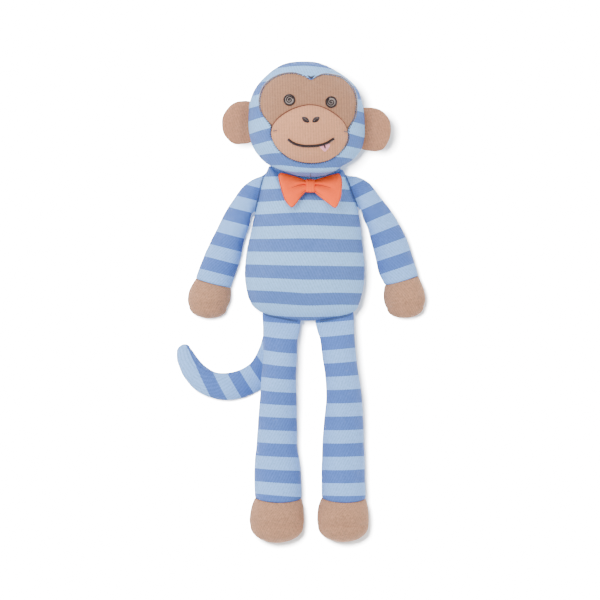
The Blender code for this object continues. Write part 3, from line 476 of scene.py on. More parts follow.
def tube(name, path, radius, mat, sides=8, rope=0.0, pitch=2.2, ends=True, up=(0, 0, 1), link=True):
    """A closed tube along a path; rope gives it the lay of twisted thread."""
    path = np.asarray(path, float)
    radius = np.broadcast_to(np.asarray(radius, float), (len(path),)).copy()
    run = np.concatenate([[0], np.cumsum(np.linalg.norm(np.diff(path, axis=0), axis=1))])
    if ends:
        closing = np.minimum(1.0, np.minimum(run, run[-1] - run) / np.maximum(radius, 1e-6))
        radius = radius * np.sqrt(np.clip(1 - (1 - closing) ** 2, 0.09, 1))
    tangent = np.gradient(path, axis=0)
    tangent /= np.maximum(np.linalg.norm(tangent, axis=1, keepdims=True), 1e-9)
    across = np.cross(tangent, np.broadcast_to(np.asarray(up, float), tangent.shape))
    across /= np.maximum(np.linalg.norm(across, axis=1, keepdims=True), 1e-9)
    over = np.cross(across, tangent)
    angle = 2 * math.pi * np.arange(sides) / sides
    wave = 1 + rope * np.abs(np.sin(angle[None, :] - 2 * math.pi * run[:, None] / pitch)) - rope / 2
    r = radius[:, None] * wave
    p = (path[:, None] + across[:, None] * (np.cos(angle)[None, :, None] * r[..., None])
         + over[:, None] * (np.sin(angle)[None, :, None] * r[..., None])).reshape(-1, 3)
    n = len(path)
    faces = [grid_faces(n, sides, True), pole_faces(len(p), 0, sides, True, False),
             pole_faces(len(p) + 1, (n - 1) * sides, sides, True, True)]
    step = (path[1] - path[0]) * 0.2, (path[-1] - path[-2]) * 0.2
    p = np.vstack([p, path[0] - step[0], path[-1] + step[1]])
    uv = np.column_stack([np.append(np.tile(angle, n), [0, 0]), np.append(np.repeat(run, sides), [0, run[-1]])])
    faces = outward(p, np.vstack(faces))
    if not link:
        return p, faces, uv
    return make_object(name, p, faces, mat, uv)


def outward(p, faces):
    """Faces of a closed mesh, turned to look out."""
    a, b, c, d = (p[faces[:, k]] for k in range(4))
    volume = np.einsum("ij,ij->", a, np.cross(b, c)) + np.einsum("ij,ij->", a, np.cross(c, d))
    return flipped(faces) if volume < 0 else faces


def together(name, pieces, mat):
    """Several closed bodies as one piece."""
    p, faces, uv, base = [], [], [], 0
    for q, f, w in pieces:
        p.append(q)
        faces.append(f + base)
        uv.append(w)
        base += len(q)
    return make_object(name, np.vstack(p), np.vstack(faces), mat, np.vstack(uv))


# ------------------------------------------------------------- materials
class Nodes:
    """Short hands for building a node tree."""

    def __init__(self, name):
        self.m = bpy.data.materials.new(name)
        self.m.use_nodes = True
        self.tree = self.m.node_tree
        self.bsdf = self.tree.nodes["Principled BSDF"]

    def new(self, kind, **facts):
        node = self.tree.nodes.new(kind)
        for k, v in facts.items():
            setattr(node, k, v)
        return node

    def link(self, a, b):
        self.tree.links.new(a, b)

    def math(self, operation, a, b=None, clamp=False):
        node = self.new("ShaderNodeMath", operation=operation, use_clamp=clamp)
        for socket, value in zip(node.inputs, (a, b)):
            if value is None:
                continue
            if isinstance(value, (int, float)):
                socket.default_value = value
            else:
                self.link(value, socket)
        return node.outputs[0]

    def mix(self, factor, a, b, blend="MIX"):
        node = self.new("ShaderNodeMix", data_type="RGBA", blend_type=blend)
        for key, value in (("Factor_Float", factor), ("A_Color", a), ("B_Color", b)):
            socket = next(s for s in node.inputs if s.identifier == key)
            if isinstance(value, (int, float)):
                socket.default_value = value
            elif isinstance(value, tuple):
                socket.default_value = (*value, 1.0)
            else:
                self.link(value, socket)
        return next(s for s in node.outputs if s.identifier == "Result_Color")

    def noise(self, scale, detail=2.0):
        coords = self.new("ShaderNodeTexCoord")
        node = self.new("ShaderNodeTexNoise")
        node.inputs["Scale"].default_value = scale
        node.inputs["Detail"].default_value = detail
        self.link(coords.outputs["Object"], node.inputs["Vector"])
        return node.outputs["Fac"]

    def uv(self):
        node = self.new("ShaderNodeUVMap", uv_map="knit")
        split = self.new("ShaderNodeSeparateXYZ")
        self.link(node.outputs["UV"], split.inputs[0])
        return split.outputs[0], split.outputs[1]

    def finish(self, colour, height, strength, distance, roughness=0.95, sheen=0.08):
        if isinstance(colour, tuple):
            self.bsdf.inputs["Base Color"].default_value = (*colour, 1.0)
        else:
            self.link(colour, self.bsdf.inputs["Base Color"])
        self.bsdf.inputs["Roughness"].default_value = roughness
        self.bsdf.inputs["Sheen Weight"].default_value = sheen
        self.bsdf.inputs["Sheen Roughness"].default_value = 0.5
        self.bsdf.inputs["Specular IOR Level"].default_value = 0.15
        bump = self.new("ShaderNodeBump")
        bump.inputs["Strength"].default_value = strength
        bump.inputs["Distance"].default_value = distance * MM
        self.link(height, bump.inputs["Height"])
        self.link(bump.outputs["Normal"], self.bsdf.inputs["Normal"])
        return self.m


def knit(name, plain=None, stripes=None, wale=1.3, course=1.0, marl=0.05, relief=0.55, depth=0.30,
         hatch=(2.3, -4.6, 0.085), mottle=0.2):
    """Plain knit: every stitch is a V of yarn, in columns (wales) and rows (courses)."""
    t = Nodes(name)
    u, v = t.uv()
    if stripes:
        phase_node = t.new("ShaderNodeAttribute", attribute_name="phase")
        phase = phase_node.outputs["Fac"]
        v = t.math("MULTIPLY", phase, 10.0)
    else:
        v = t.math("DIVIDE", v, course)
    column = t.math("SUBTRACT", t.math("FRACT", t.math("DIVIDE", u, wale)), 0.5)
    side = t.math("ABSOLUTE", column)
    row = t.math("ADD", v, t.math("MULTIPLY", side, 1.5))
    loop = t.math("ABSOLUTE", t.math("SINE", t.math("MULTIPLY", row, math.pi)))
    leg = t.math("POWER", t.math("SINE", t.math("MULTIPLY", side, 2 * math.pi), clamp=True), 0.6)
    height = t.math("MULTIPLY", t.math("ADD", t.math("MULTIPLY", loop, 0.6), 0.4), leg)
    if stripes:
        light, deep = stripes
        edge = t.math("MULTIPLY", t.math("ADD", phase, t.math("MULTIPLY", side, 0.09)), 0.5)
        is_deep = t.math("GREATER_THAN", t.math("FRACT", edge), 0.5)
        colour = t.mix(is_deep, light, deep)
        # painted shade under the chin, tinted lilac by a painted reflection of the coral bow, mixed in by a per-point
        # attribute
        painted_chin_shade = t.new("ShaderNodeAttribute", attribute_name="painted_chin_shade")
        colour = t.mix(painted_chin_shade.outputs["Fac"], colour, (0.19, 0.175, 0.40))
    else:
        colour = t.mix(t.noise(900.0, 3.0), tuple(c * (1 - marl * 2) for c in plain),
                       tuple(min(0.97, c * (1 + marl * 2)) for c in plain))
    # painted shade: the colour is darker down between the stitches and lighter on their tops, more so for a larger
    # relief
    shade = t.math("ADD", t.math("MULTIPLY", height, relief), 1.0 - relief * 0.62)
    fleck = t.math("ADD", t.math("MULTIPLY", t.noise(1500.0, 2.0), marl * 2), 1.0 - marl)
    patch = t.math("ADD", t.math("MULTIPLY", t.noise(60.0, 2.0), 0.08), 0.96)
    value = t.math("MULTIPLY", t.math("MULTIPLY", shade, fleck), patch)
    # the lean of the stitches shows as a fine hatch, and the yarn is mottled
    lean = t.math("ADD", t.math("DIVIDE", u, hatch[0]), t.math("DIVIDE", v, hatch[1]))
    lean = t.math("MULTIPLY", t.math("SINE", t.math("MULTIPLY", lean, 2 * math.pi)), hatch[2])
    spots = t.math("MULTIPLY", t.math("SUBTRACT", t.noise(640.0, 2.0), 0.5), mottle * 2)
    value = t.math("MULTIPLY", value, t.math("ADD", t.math("ADD", lean, spots), 1.0))
    grey = t.new("ShaderNodeCombineColor")
    for socket in grey.inputs[:3]:
        t.link(value, socket)
    colour = t.mix(1.0, colour, grey.outputs[0], "MULTIPLY")
    fuzz = t.math("ADD", height, t.math("MULTIPLY", t.noise(2500.0, 2.0), 0.35))
    return t.finish(colour, fuzz, 0.7, depth)


def woven(name, colour):
    """Plain weave: threads over and under."""
    t = Nodes(name)
    u, v = t.uv()
    su = t.math("SINE", t.math("MULTIPLY", u, 2 * math.pi / 0.9))
    sv = t.math("SINE", t.math("MULTIPLY", v, 2 * math.pi / 0.9))
    weave = t.math("ADD", t.math("MULTIPLY", t.math("MULTIPLY", su, sv), 0.5), 0.5)
    slub = t.noise(500.0, 3.0)
    value = t.math("ADD", t.math("ADD", t.math("MULTIPLY", weave, 0.10), t.math("MULTIPLY", slub, 0.10)), 0.90)
    grey = t.new("ShaderNodeCombineColor")
    for socket in grey.inputs[:3]:
        t.link(value, socket)
    shown = t.mix(1.0, colour, grey.outputs[0], "MULTIPLY")
    height = t.math("ADD", weave, t.math("MULTIPLY", slub, 0.8))
    return t.finish(shown, height, 0.5, 0.12, 0.9, 0.0)


def thread_look(name, dark, light, sheen=0.03):
    t = Nodes(name)
    u, v = t.uv()
    ply = t.math("ABSOLUTE", t.math("SINE", t.math("SUBTRACT", t.math("MULTIPLY", v, 2.8), u)))
    strand = t.math("MULTIPLY", t.math("ADD", ply, t.noise(2200.0, 2.0)), 0.5)
    return t.finish(t.mix(strand, dark, light), strand, 0.6, 0.12, 0.55, sheen)


STRIPES = knit("knit_stripes", stripes=((0.283, 0.546, 0.95), (0.090, 0.179, 0.488)))
LIMB_STRIPES = knit("knit_stripes_limbs", stripes=((0.257, 0.49, 0.95), (0.080, 0.166, 0.50)),
                    hatch=(2.2, 4.4, 0.075))
FACE_KNIT = knit("knit_tan_face", plain=(0.371, 0.184, 0.108), marl=0.08, relief=0.6,
                 hatch=(1.95, 60.0, 0.10), mottle=0.2)
MUZZLE_KNIT = knit("knit_tan_muzzle", plain=(0.609, 0.276, 0.150), marl=0.07,
                   hatch=(1.95, 60.0, 0.075), mottle=0.15)
SEAM_CLOTH = knit("knit_seam_allowance", plain=(0.28, 0.145, 0.10), marl=0.08)
EAR_KNIT = knit("knit_tan_ears", plain=(0.455, 0.214, 0.123), marl=0.10,
                hatch=(1.9, 5.0, 0.06), mottle=0.3)
HAND_KNIT = knit("knit_tan_hands", plain=(0.43, 0.217, 0.126), marl=0.13,
                 hatch=(1.9, 3.4, 0.07), mottle=0.35)
CORAL = woven("woven_coral_cloth", (0.985, 0.105, 0.018))
DARK_THREAD = thread_look("thread_dark", (0.010, 0.004, 0.004), (0.034, 0.019, 0.019))
NAVY_THREAD = thread_look("thread_navy", (0.010, 0.010, 0.022), (0.040, 0.040, 0.075))
# brown seam thread, dark enough to paint the shade in the crescent crease too
SEAM_THREAD_AND_CREASE_SHADE = thread_look("thread_brown_and_crease_shade", (0.115, 0.035, 0.018), (0.22, 0.080, 0.045))
BLUE_THREAD = thread_look("thread_blue", (0.030, 0.055, 0.16), (0.055, 0.10, 0.28))
GREY_THREAD = thread_look("thread_grey", (0.16, 0.13, 0.12), (0.34, 0.29, 0.27))
PINK_THREAD = thread_look("thread_pink", (0.74, 0.17, 0.25), (0.93, 0.44, 0.52))
DIM_THREAD = thread_look("thread_dim", (0.045, 0.035, 0.035), (0.11, 0.09, 0.085))
EDGE_THREAD = thread_look("thread_edge", (0.10, 0.075, 0.085), (0.17, 0.13, 0.14))
# a dark blue for the painted shade in the creases at the shoulders and hips
CREASE_SHADE = thread_look("painted_crease_shade_blue", (0.040, 0.066, 0.17), (0.065, 0.11, 0.27))
# coral thread for the hem, and the same dark coral for the painted shade down in the pleats
CORAL_THREAD_AND_PLEAT_SHADE = thread_look("thread_coral_and_pleat_shade", (0.40, 0.05, 0.012), (0.60, 0.08, 0.02))


# ------------------------------------------------------------- domes: torso and hood
DETAIL = 1.0


def count(n):
    return max(12, int(n * DETAIL))


def dome_skin(name, outline, rise, base, side, mat, bands, radius, warp=None, seed=1, rings=66, segments=264):
    segments, rings = count(segments), count(rings)
    angle = 2 * math.pi * np.arange(segments) / segments
    level = np.sin(np.linspace(0, math.pi / 2, rings + 1))[1:, None]
    reach = outline.radius(angle)[None, :] * level
    x0, y0 = outline.middle[0] + reach * np.cos(angle), outline.middle[1] + reach * np.sin(angle)
    up = np.broadcast_to(rise(level), reach.shape)
    pull = 0.5 * np.exp(-(up / 1.5) ** 2)
    x = outline.middle[0] + (reach - pull) * np.cos(angle)
    y = outline.middle[1] + (reach - pull) * np.sin(angle)
    z = base + side * np.maximum(up, 0.07)
    if warp:
        x, y, z = warp(x, y, z)
    k = spread(rise, radius)(level)
    uv = np.stack([(x0 - outline.middle[0]) * k, (y0 - outline.middle[1]) * k], axis=2)
    # small gathers along the seam
    run = angle[None, :] * radius
    gathers = 0.16 * (0.5 + 0.5 * np.sin(run / 5.2 * 2 * math.pi + 1.3 * np.sin(run / 9.0))) * np.exp(-(up / 4.0) ** 2)
    middle = (outline.middle[0], outline.middle[1], base + side * float(rise(np.array(0.0))))
    return skin(name, np.stack([x, y, np.maximum(z, 0.0)], axis=2), mat, uv, bands(x, y) if warp else bands(x0, y0), wrap=True,
                first=(middle, (0.0, 0.0), float(bands(np.array([middle[0]]), np.array([middle[1]]))[0])),
                side=side, seed=seed, pucker=gathers)


torso_bands, hood_bands, hood_back_bands = Bands(TORSO_BANDS), Bands(HOOD_BANDS), Bands(HOOD_BACK_BANDS)

torso_front = dome_skin("torso_front_skin", TORSO, torso_rise, TORSO_SEAM_Z, 1, STRIPES, torso_bands, 48.0, seed=2)
torso_back = dome_skin("torso_back_skin", TORSO, lambda r: torso_rise(r, TORSO_BACK), TORSO_SEAM_Z, -1, STRIPES,
                       torso_bands, 48.0, seed=3)
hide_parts("torso_front_panel", "torso_stuffing")
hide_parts("torso_back_panel")
hood_back = dome_skin("hood_back_skin", HEAD, lambda r: head_rise(r, HEAD_BACK), HEAD_SEAM_Z, -1, STRIPES,
                      hood_back_bands, 45.0, warp=tuck, seed=4)
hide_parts("head_back_hood")


def neck_skin():
    """The short neck between the body and the hood, mostly out of sight."""
    around, rows = count(150), count(26)
    angle = 2 * math.pi * np.arange(around) / around
    t = np.linspace(0, 1, rows)[:, None]
    half = 24.6 - 0.8 * t
    c, s = np.cos(angle)[None, :], np.sin(angle)[None, :]
    deep = np.where(s > 0, 5.0 + 1.5 * t, 6.0 + 2.4 * t)
    x = 4.0 + half * np.sign(c) * np.abs(c) ** 0.8
    y = 88.5 + 15.5 * t + 0 * s
    z = 25.4 + 6.6 * t + deep * np.sign(s) * np.abs(s) ** 0.8
    x, y, z = np.broadcast_arrays(x, y, z)
    gathers = 0.25 * (0.5 + 0.5 * np.sin(angle * 26))[None, :] * np.sin(math.pi * t)
    uv = np.stack([np.broadcast_to(angle[None, :] * 15.0, x.shape), y], axis=2)
    grid = np.stack([x, y, z], axis=2)
    poles = [((4.0, float(y[i, 0]) - d, float(25.4 + 6.6 * k)), (0.0, 0.0), -0.5) for i, k, d in ((0, 0.0, 1.0), (-1, 1.0, -1.0))]
    return skin("neck_skin", grid, STRIPES, uv, np.broadcast_to(-0.92 + 0.84 * t, x.shape), wrap=True, first=poles[0], last=poles[1],
                side=1, seed=10, lumps=(0.15, 0.1), pucker=gathers)


neck = neck_skin()


def hood_front_skin():
    segments, rings = count(288), count(46)
    angle = 2 * math.pi * np.arange(segments) / segments
    rim = HEAD.radius(angle)
    low = np.arcsin(np.minimum(0.995, (FACE.radius(angle) - 0.1) / rim))
    step = np.linspace(0, 1, rings)[:, None]
    ratio = np.sin(low[None, :] + (math.pi / 2 - low[None, :]) * step)
    ratio[-1] = 1.0
    reach = rim[None, :] * ratio
    x0, y0 = HEAD_MID[0] + reach * np.cos(angle), HEAD_MID[1] + reach * np.sin(angle)
    up = head_rise(ratio, HEAD_FRONT)
    pull = 0.5 * np.exp(-(up / 1.5) ** 2)
    x = HEAD_MID[0] + (reach - pull) * np.cos(angle)
    y = HEAD_MID[1] + (reach - pull) * np.sin(angle)
    x, y, z = tuck(x, y, HEAD_SEAM_Z + np.maximum(up, 0.07))
    off = reach - (FACE.radius(angle) - 0.1)[None, :]
    run = angle[None, :] * 40.0
    draw = 0.38 * np.exp(-(off / 0.6) ** 2) + 0.14 * (0.5 + 0.5 * np.sin(run / 3.4 * 2 * math.pi)) * np.exp(-(off / 2.6) ** 2)
    k = spread(lambda r: head_rise(r, HEAD_FRONT), 45.0)(ratio)
    uv = np.stack([(x0 - HEAD_MID[0]) * k, (y0 - HEAD_MID[1]) * k], axis=2)
    # under the chin the stripes go on round to the neck
    phase = hood_bands(x, y)
    depth = z + 0.014 * (x - 7.0) ** 2
    phase = phase + smooth(8.0, 8.4, phase) * (0.5 * smooth(60.5, 57.0, depth) + np.maximum(0.0, 57.0 - depth) / 12.0)
    return skin("hood_front_skin", np.stack([x, y, z], axis=2), STRIPES, uv, phase, wrap=True,
                side=1, seed=5, pucker=draw)


hood_front = hood_front_skin()
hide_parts("head_front_hood", "head_stuffing")


def face_skin():
    columns, rows = count(240), count(46)
    top = spline(BROW_OUTLINE, np.linspace(0, len(BROW_OUTLINE) - 1, columns + 1))
    angle = np.arctan2(top[:, 1] - MUZZLE_MID[1], top[:, 0] - MUZZLE_MID[0])
    low = MUZZLE_RIM.radius(angle) + 0.15
    high = np.maximum(np.hypot(top[:, 0] - MUZZLE_MID[0], top[:, 1] - MUZZLE_MID[1]) - 0.1, low + 0.7)
    t = np.linspace(0, 1, rows)[:, None]
    r = low + (high - low) * t
    x, y = MUZZLE_MID[0] + r * np.cos(angle), MUZZLE_MID[1] + r * np.sin(angle)
    edge = np.minimum(np.minimum(r - low, high - r), 9.0)
    draw = 0.32 * np.exp(-(edge / 0.6) ** 2)
    puff = 0.5 * smooth(0.0, 7.0, edge)
    z = face_z(x, y) + puff
    return skin("face_skin", np.stack([x, y, z], axis=2), FACE_KNIT, np.stack([x, y], axis=2), np.zeros_like(x),
                side=1, seed=6, pucker=draw, lumps=(0.25, 0.08))


face = face_skin()
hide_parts("face_panel")


def muzzle_skin():
    segments, rings = count(220), count(44)
    angle = 2 * math.pi * np.arange(segments) / segments
    level = np.sin(np.linspace(0, math.pi / 2, rings + 1))[1:, None] ** 0.85
    reach = (MUZZLE_RIM.radius(angle) - 0.12)[None, :] * level
    x, y = MUZZLE_MID[0] + reach * np.cos(angle), MUZZLE_MID[1] + reach * np.sin(angle)
    z = muzzle_z(x, y)
    off = (1 - level) * MUZZLE_RIM.radius(angle)[None, :]
    run = angle[None, :] * 27.0
    draw = 0.32 * np.exp(-(off / 0.6) ** 2) + 0.12 * (0.5 + 0.5 * np.sin(run / 3.1 * 2 * math.pi)) * np.exp(-(off / 2.4) ** 2)
    # two darts where the muzzle turns down to its sides
    for dart_x, dart_y in ((-19.6, 126.2), (33.0, 125.8)):
        draw += 0.5 * np.exp(-((y - dart_y) / 0.7) ** 2 - ((x - dart_x) / 2.6) ** 2)
    middle = (MUZZLE_MID[0], MUZZLE_MID[1], float(muzzle_z(*MUZZLE_MID)))
    return skin("muzzle_skin", np.stack([x, y, z], axis=2), MUZZLE_KNIT, np.stack([x, y], axis=2), np.zeros_like(x),
                wrap=True, first=(middle, MUZZLE_MID, 0.0), side=1, seed=7, pucker=draw, lumps=(0.25, 0.08))


muzzle = muzzle_skin()


def lining_skin():
    """A plain lining under the face, seen only down in its seams."""
    segments, rings = count(160), count(20)
    angle = 2 * math.pi * np.arange(segments) / segments
    level = np.linspace(0, 1, rings + 1)[1:, None]
    reach = (FACE.radius(angle) + 0.6)[None, :] * level
    x, y = HEAD_MID[0] + reach * np.cos(angle), HEAD_MID[1] + reach * np.sin(angle)
    z = face_z(x, y) - 1.5
    middle = (HEAD_MID[0], HEAD_MID[1], float(face_z(*HEAD_MID)) - 1.5)
    return skin("face_lining_skin", np.stack([x, y, z], axis=2), SEAM_CLOTH, np.stack([x, y], axis=2),
                np.zeros_like(x), wrap=True, first=(middle, HEAD_MID, 0.0), side=1, seed=9, lumps=(0.0, 0.0), thick=0.6)


lining = lining_skin()
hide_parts("muzzle_panel")

# ------------------------------------------------------------- ears
ears = []
for side_name, points, mid, inwards in (("right", RIGHT_EAR, (-47.5, 132.6), 3.0), ("left", LEFT_EAR, (56.5, 127.4), -3.0)):
    root_x = -39.4 if side_name == "right" else 48.0
    rim = Outline([(x + (inwards if abs(x - root_x) < 1.8 else 0.0), y) for x, y in points], mid)
    for which, side in (("front", 1), ("back", -1)):
        segments, rings = count(120), count(24)
        angle = 2 * math.pi * np.arange(segments) / segments
        level = np.sin(np.linspace(0, math.pi / 2, rings + 1))[1:, None]
        reach = rim.radius(angle)[None, :] * level
        x, y = mid[0] + reach * np.cos(angle), mid[1] + reach * np.sin(angle)
        deep = EAR_DEPTH * (0.5 + 0.5 * smooth(0.0, 7.0, np.abs(x - root_x)))
        up = deep * (1 - level ** 3.4) ** 0.5
        pull = 0.2 * np.exp(-(up / 0.7) ** 2)
        px, py = mid[0] + (reach - pull) * np.cos(angle), mid[1] + (reach - pull) * np.sin(angle)
        z = HEAD_SEAM_Z + side * np.maximum(up, 0.06)
        ear = skin(side_name + "_ear_" + which + "_skin", np.stack([px, py, z], axis=2), EAR_KNIT,
                   np.stack([x, y], axis=2), np.zeros_like(x), wrap=True,
                   first=((mid[0], mid[1], HEAD_SEAM_Z + side * EAR_DEPTH), mid, 0.0),
                   side=side, thick=0.8, lumps=(0.2, 0.1), seed=8)
        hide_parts(side_name + "_ear_" + which)
        ears.append((ear, side_name, root_x))


# ------------------------------------------------------------- limbs
def limb_skin(name, rails, mid_z, depth, side, mat, bands=None, seed=1, root=0.0, ends=(True, True), step=1.0,
              sag=(0.0, 0.0)):
    """The upper (side 1) or lower (side -1) panel of a limb, over its ladder of stations."""
    stations = [r for r in rails if isinstance(r[0], tuple)]
    tip = None if isinstance(rails[-1][0], tuple) else rails[-1]
    a, b = np.array([s[0] for s in stations], float), np.array([s[1] for s in stations], float)
    mz, dp = np.array(mid_z, float), np.array(depth, float)
    if root:
        lead = ((a[1] + b[1]) - (a[0] + b[0])) / 2
        lead = lead / np.linalg.norm(lead) * root
        a, b = np.vstack([a[:1] - lead, a]), np.vstack([b[:1] - lead, b])
        mz, dp = np.append(mz[:1], mz), np.append(max(1.2, dp[0] - 1.8), dp)
    n = len(a)
    length = np.linalg.norm(np.diff((a + b) / 2, axis=0), axis=1).sum()
    rows = max(8, int(length / step * DETAIL) + 1)
    t = np.linspace(0, n - 1, rows)
    ta, tb = spline(a, t), spline(b, t)
    tz, td = spline(mz, t)[:, 0], spline(dp, t)[:, 0]
    mid, half = (ta + tb) / 2, (ta - tb) / 2
    pole = None
    if tip is not None:
        q = np.linspace(0, math.pi / 2, count(14) + 1)[1:-1]
        last_mid, last_half = mid[-1], half[-1]
        more = last_mid + (np.array(tip, float) - last_mid) * np.sin(q)[:, None]
        mid = np.vstack([mid, more])
        half = np.vstack([half, last_half * np.cos(q)[:, None]])
        tz = np.append(tz, np.full(len(q), tz[-1]))
        td = np.append(td, td[-1] * np.cos(q))
    run = np.concatenate([[0], np.cumsum(np.linalg.norm(np.diff(mid, axis=0), axis=1))])
    columns = count(60)
    theta = np.linspace(0, math.pi, columns)
    wide = np.linalg.norm(half, axis=1)
    # the cloth turns in at the side seams and at the seams across the limb
    turn = np.zeros(len(run))
    if ends[0]:
        turn += (0.3 if root else 0.4) * np.exp(-((run - run[0]) / 0.7) ** 2)
    if ends[1] and tip is None:
        turn += 0.4 * np.exp(-((run[-1] - run) / 0.7) ** 2)
    up = td[:, None] * np.sin(theta)[None, :]
    up[:, 0] = up[:, -1] = 0.0
    pull = 0.3 * np.exp(-(up / 1.2) ** 2) + turn[:, None]
    k = np.maximum(0.1, 1 - pull / np.maximum(wide, 1.0)[:, None])
    x = mid[:, :1] + half[:, :1] * np.cos(theta)[None, :] * k
    y = mid[:, 1:] + half[:, 1:] * np.cos(theta)[None, :] * k
    z = tz[:, None] + side * np.maximum(0.07, up - turn[:, None] * (up > 1.0))
    # the seam across the limb hangs lower at its middle
    down = mid[-1] - mid[0]
    down = down / np.linalg.norm(down)
    hang = (sag[0] * np.exp(-((run - run[0]) / 9.0) ** 2) + sag[1] * np.exp(-((run[-1] - run) / 9.0) ** 2))[:, None]
    hang = hang * np.sin(theta)[None, :] ** 1.4 * (1.0 if side > 0 else 0.5)
    x, y = x + down[0] * hang, y + down[1] * hang
    grid = np.stack([x, y, np.maximum(z, 0.0)], axis=2)
    across = np.concatenate([np.zeros((len(run), 1)), np.cumsum(np.linalg.norm(np.diff(grid, axis=1), axis=2), axis=1)], axis=1)
    across -= across[:, columns // 2: columns // 2 + 1]
    uv = np.stack([across, np.broadcast_to(run[:, None], across.shape)], axis=2)
    phase = bands(x, y) if bands else np.zeros_like(x)
    last = None
    if tip is not None:
        last = ((tip[0], tip[1], max(0.05, tz[-1] + side * 0.07)), (0.0, run[-1]), 0.0)
    return skin(name, grid, mat, uv, phase, last=last, side=side, seed=seed, lumps=(0.3, 0.11))


SLEEVE_ROUND = [4.2, 7.0, 9.3, 10.9, 11.8, 12.0, 12.0, 11.8, 11.2]
LEG_ROUND = [3.4, 6.8, 10.2, 12.9, 13.8, 14.0, 14.0, 14.4, 15.6, 16.4, 16.4]
HAND_MID_Z = [12.0, 12.6, 13.0, 12.4]
FOOT_MID = [16.6, 17.4, 17.6, 16.4]
END_GAP = 0.1


def cut_back(rails, gap):
    """A ladder whose last station is drawn back along the limb."""
    out = [tuple(r) for r in rails]
    ends = []
    for s in (0, 1):
        p, q = np.array(out[-1][s]), np.array(out[-2][s])
        ends.append(tuple(float(v) for v in p + (q - p) / np.linalg.norm(q - p) * gap))
    return out[:-1] + [tuple(ends)]


limbs = []
for side_name, sleeve, hand, rows in (("right", RIGHT_SLEEVE, RIGHT_HAND, RIGHT_ARM_BANDS),
                                      ("left", LEFT_SLEEVE, LEFT_HAND, LEFT_ARM_BANDS)):
    bands = Bands(rows)
    for which, side in (("front", 1), ("back", -1)):
        piece = limb_skin(side_name + "_sleeve_" + which + "_skin", cut_back(sleeve, END_GAP), SLEEVE_MID_Z,
                          SLEEVE_ROUND, side, LIMB_STRIPES, bands, seed=11, root=4.5, sag=(0.0, 0.9))
        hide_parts(side_name + "_sleeve_" + which, *([side_name + "_arm_stuffing"] if side > 0 else []))
        limbs.append((piece, side_name + "_arm", sleeve, TORSO_SEAM_Z))
        piece = limb_skin(side_name + "_hand_" + which + "_skin", hand, HAND_MID_Z, HAND_DEPTH, side, HAND_KNIT, seed=12,
                          sag=(0.9, 0.0))
        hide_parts(side_name + "_hand_" + which)
        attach(piece, side_name + "_arm")
for side_name, leg, foot, rows in (("right", RIGHT_LEG, RIGHT_FOOT, RIGHT_LEG_BANDS),
                                   ("left", LEFT_LEG, LEFT_FOOT, LEFT_LEG_BANDS)):
    bands = Bands(rows)
    for which, side in (("front", 1), ("back", -1)):
        piece = limb_skin(side_name + "_leg_" + which + "_skin", cut_back(leg, END_GAP), LEG_MID_Z,
                          LEG_ROUND, side, LIMB_STRIPES, bands, seed=13, root=4.0, sag=(0.0, 3.4))
        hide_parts(side_name + "_leg_" + which, *([side_name + "_leg_stuffing"] if side > 0 else []))
        limbs.append((piece, side_name + "_leg", leg, TORSO_SEAM_Z))
        piece = limb_skin(side_name + "_foot_" + which + "_skin", foot, FOOT_MID, FOOT_DEPTH, side, HAND_KNIT, seed=14,
                          sag=(3.4, 0.0))
        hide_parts(side_name + "_foot_" + which)
        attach(piece, side_name + "_leg")
tail_bands = Bands(TAIL_BANDS)


def bands(x, y):
    k = tail_bands(x, y)
    return np.maximum(np.where(k < 0.9, 0.9 + (k - 0.9) * 0.4, k), 0.03)


for which, side in (("upper", 1), ("lower", -1)):
    piece = limb_skin("tail_" + which + "_skin", TAIL, TAIL_MID_Z, TAIL_DEPTH, side, LIMB_STRIPES, bands, seed=15)
    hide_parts("tail_" + which + "_panel", *(["tail_stuffing"] if side > 0 else []))
    limbs.append((piece, "tail", TAIL, 6.0))
for piece, body, rails, height in limbs:
    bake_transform(piece)
for ear, side_name, root_x in ears:
    y = 133.0 if side_name == "right" else 128.0
    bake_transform(ear)
for piece in (torso_front, torso_back, neck):
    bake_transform(piece)
for piece, body, slot, fill in ((hood_front, "head", "striped_knit", 0.8), (hood_back, "head", "striped_knit", 0.8),
                                (face, "head", "tan_knit", 0.8), (muzzle, "head", "muzzle_knit", 0.8),
                                (lining, "head", "tan_knit", 0.8)):
    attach(piece, body)


# ------------------------------------------------------------- the face's embroidery
def on_face(points, lift):
    points = np.asarray(points, float)
    return np.column_stack([points, face_z(points[:, 0], points[:, 1]) + 0.5 + lift])


def on_muzzle(points, lift):
    points = np.asarray(points, float)
    return np.column_stack([points, muzzle_z(points[:, 0], points[:, 1]) + lift])


def patch(rings, top):
    """A low closed mound from rings of points, the first at its foot, up to a point."""
    p = np.vstack([np.vstack(rings), np.mean(rings[0], axis=0)[None], np.array(top, float)[None]])
    sides = len(rings[0])
    faces = [grid_faces(len(rings), sides, True), pole_faces(len(p) - 2, 0, sides, True, False),
             pole_faces(len(p) - 1, (len(rings) - 1) * sides, sides, True, True)]
    return p, outward(p, np.vstack(faces)), p[:, :2].copy()


